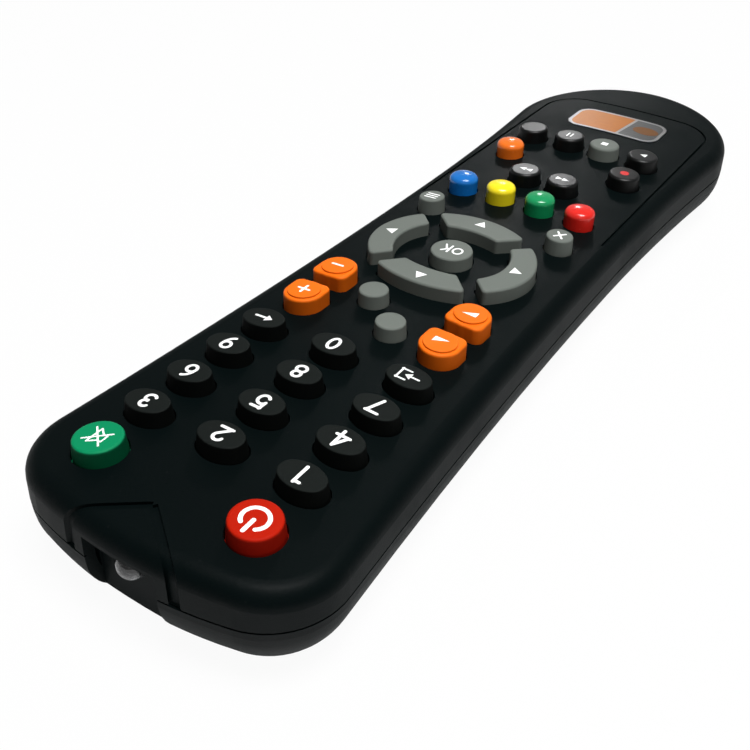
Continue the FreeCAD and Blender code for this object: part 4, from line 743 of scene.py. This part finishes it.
def layBadge():
    low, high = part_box("badge_plate")
    halfX = (high.x - low.x) / 2 / mm - badgeLook["inset"]
    halfY = (high.y - low.y) / 2 / mm - badgeLook["inset"]
    rim, sliver = badgeLook["rim"], badgeLook["sliver"]

    def reach(level, inward):
        # how far a row runs across inside the rounded outline
        corner = max(badgeLook["corner"] - inward, badgeLook["leastCorner"])
        over = max(abs(level) - (halfY - inward - corner), 0)
        return halfX - inward - corner + math.sqrt(max(corner ** 2 - over ** 2, 0))

    def spaced(half):
        # levels from one end to the other, closer at both ends
        count = badgeLook["rows"]
        return [-half * math.cos(math.pi * step / count) for step in range(count + 1)]

    def divider(level):
        return badgeLook["divider"] + badgeLook["slant"] * level

    whole = [(level, -reach(level, 0), reach(level, 0)) for level in spaced(halfY - sliver)]
    inside = spaced(halfY - rim - sliver)
    field = [(level, divider(level) + rim / 2, reach(level, rim)) for level in inside]
    window = [(level, -reach(level, rim), divider(level) - rim / 2) for level in inside]
    drop = []
    wide, tall = badgeLook["oval"]
    for level in spaced(tall):
        spread = wide * math.sqrt(max(1 - (level / tall) ** 2, 0)) + sliver
        drop.append((level, badgeLook["ovalPlace"] - spread, badgeLook["ovalPlace"] + spread))
    layField("badge_rim", "badge_plate", whole, silver, badgeLook["rimRise"])
    layField("badge_field", "badge_plate", field, badgeInlay, badgeLook["fieldRise"])
    layField("badge_window", "badge_plate", window, lacquer, badgeLook["fieldRise"])
    layField("badge_oval", "badge_plate", drop, badgeDrop, badgeLook["ovalRise"])


# place in millimetres, turn in degrees
cameraLook = {"place": (-79.75, 162.829, 118.017), "turn": (53.3549, -1.3266, -146.4972),
              "lens": 47.496, "sensor": 36.0, "near": 0.01}


def makeCamera():
    camera = bpy.data.cameras.new("camera")
    camera.lens = cameraLook["lens"]
    camera.sensor_width = cameraLook["sensor"]
    camera.clip_start = cameraLook["near"]
    holder = bpy.data.objects.new("camera", camera)
    holder.location = [value * mm for value in cameraLook["place"]]
    holder.rotation_euler = [math.radians(value) for value in cameraLook["turn"]]
    bpy.context.scene.collection.objects.link(holder)
    bpy.context.scene.camera = holder


floorLook = {"size": 6.0, "colour": (0.6, 0.6, 0.6), "white": 0.95, "fibreSize": 0.004,
             "fibre": 1.02, "roughness": 0.9, "shine": 0.1}


def floorPaper():
    # the camera sees it nearly white, keeping the shadow, and doesn't see it from below
    finish = Finish("floor paper", {"Roughness": floorLook["roughness"],
                                    "Specular IOR Level": floorLook["shine"]})
    fibre = finish.noise(floorLook["fibreSize"], detail=3.0)
    finish.feed(colour=finish.mix(fibre, floorLook["colour"],
                                  tinted(floorLook["colour"], floorLook["fibre"])))
    glow = finish.node("Emission", {}, {"Color": (1.0, 1.0, 1.0), "Strength": 1.0})
    clear = finish.node("BsdfTransparent")
    seen = finish.node("LightPath", output="Is Camera Ray") * floorLook["white"]
    paper = Wire(finish, finish.shader.outputs[0])
    lit = finish.node("MixShader", {}, {0: seen, 1: paper, 2: glow})
    under = finish.node("NewGeometry", output="Backfacing")
    sides = finish.node("MixShader", {}, {0: under, 1: lit, 2: clear})
    finish.put(finish.tree.nodes["Material Output"].inputs["Surface"], sides)
    return finish.material


def makeFloor():
    half = floorLook["size"] / 2
    corners = [(-half, -half, 0), (half, -half, 0), (half, half, 0), (-half, half, 0)]
    mesh = bpy.data.meshes.new("floor")
    mesh.from_pydata(corners, [], [(0, 1, 2, 3)])
    mesh.materials.append(floorPaper())
    floor = bpy.data.objects.new("floor", mesh)
    bpy.context.scene.collection.objects.link(floor)
    floor.visible_shadow = False  # so that the lamp under the floor reaches the underside


# places and sizes in metres, power in watts
lampLook = {
    "overhead": {"place": (-0.2, 0.08, 0.95), "size": 0.45, "power": 15.0},
    "window": {"place": (0.36, -0.83, 0.47), "size": 0.1, "power": 1.2},
    "fill": {"place": (-0.6, 0.8, 0.6), "size": 0.9, "power": 0.6},
    "under": {"place": (-0.1, 0.15, -0.8), "size": 0.8, "power": 18.0},
}
lampAim = Vector((0, 0, 0.01))


def makeLamps():
    for name, look in lampLook.items():
        lamp = bpy.data.lights.new(name, "AREA")
        lamp.shape = "SQUARE"
        lamp.size = look["size"]
        lamp.energy = look["power"]
        holder = bpy.data.objects.new(name, lamp)
        holder.visible_camera = False
        holder.location = look["place"]
        way = lampAim - Vector(look["place"])
        holder.rotation_euler = way.to_track_quat("-Z", "Y").to_euler()
        bpy.context.scene.collection.objects.link(holder)


# white to the camera and through clear plastic, pale in reflections, dim as a light
worldLook = {"white": 1.0, "mirrored": 0.3, "ambient": 0.03}


def makeWorld():
    world = bpy.data.worlds.new("studio")
    bpy.context.scene.world = world
    world.use_nodes = True
    sky = Nodes(world.node_tree)
    seen = sky.node("LightPath", output="Is Camera Ray")
    through = sky.node("LightPath", output="Is Transmission Ray")
    mirrored = sky.node("LightPath", output="Is Glossy Ray") * worldLook["mirrored"]
    strength = sky.node("MapRange", {}, {"Value": seen + through + mirrored,
                                         "To Min": worldLook["ambient"],
                                         "To Max": worldLook["white"]})
    background = sky.tree.nodes["Background"]
    sky.put(background.inputs["Color"], (1, 1, 1, 1))
    sky.put(background.inputs["Strength"], strength)


layDigits()
layPowerSign()
layMuteSign()
layLetters()
layArrows()
layTapeSigns()
layVolumeSigns()
layOvalKeySigns()
layBadge()
print("badge laid")
makeCamera()
makeFloor()
makeLamps()
makeWorld()
bpy.context.scene.view_settings.view_transform = "Standard"
print("camera, floor and lamps placed")
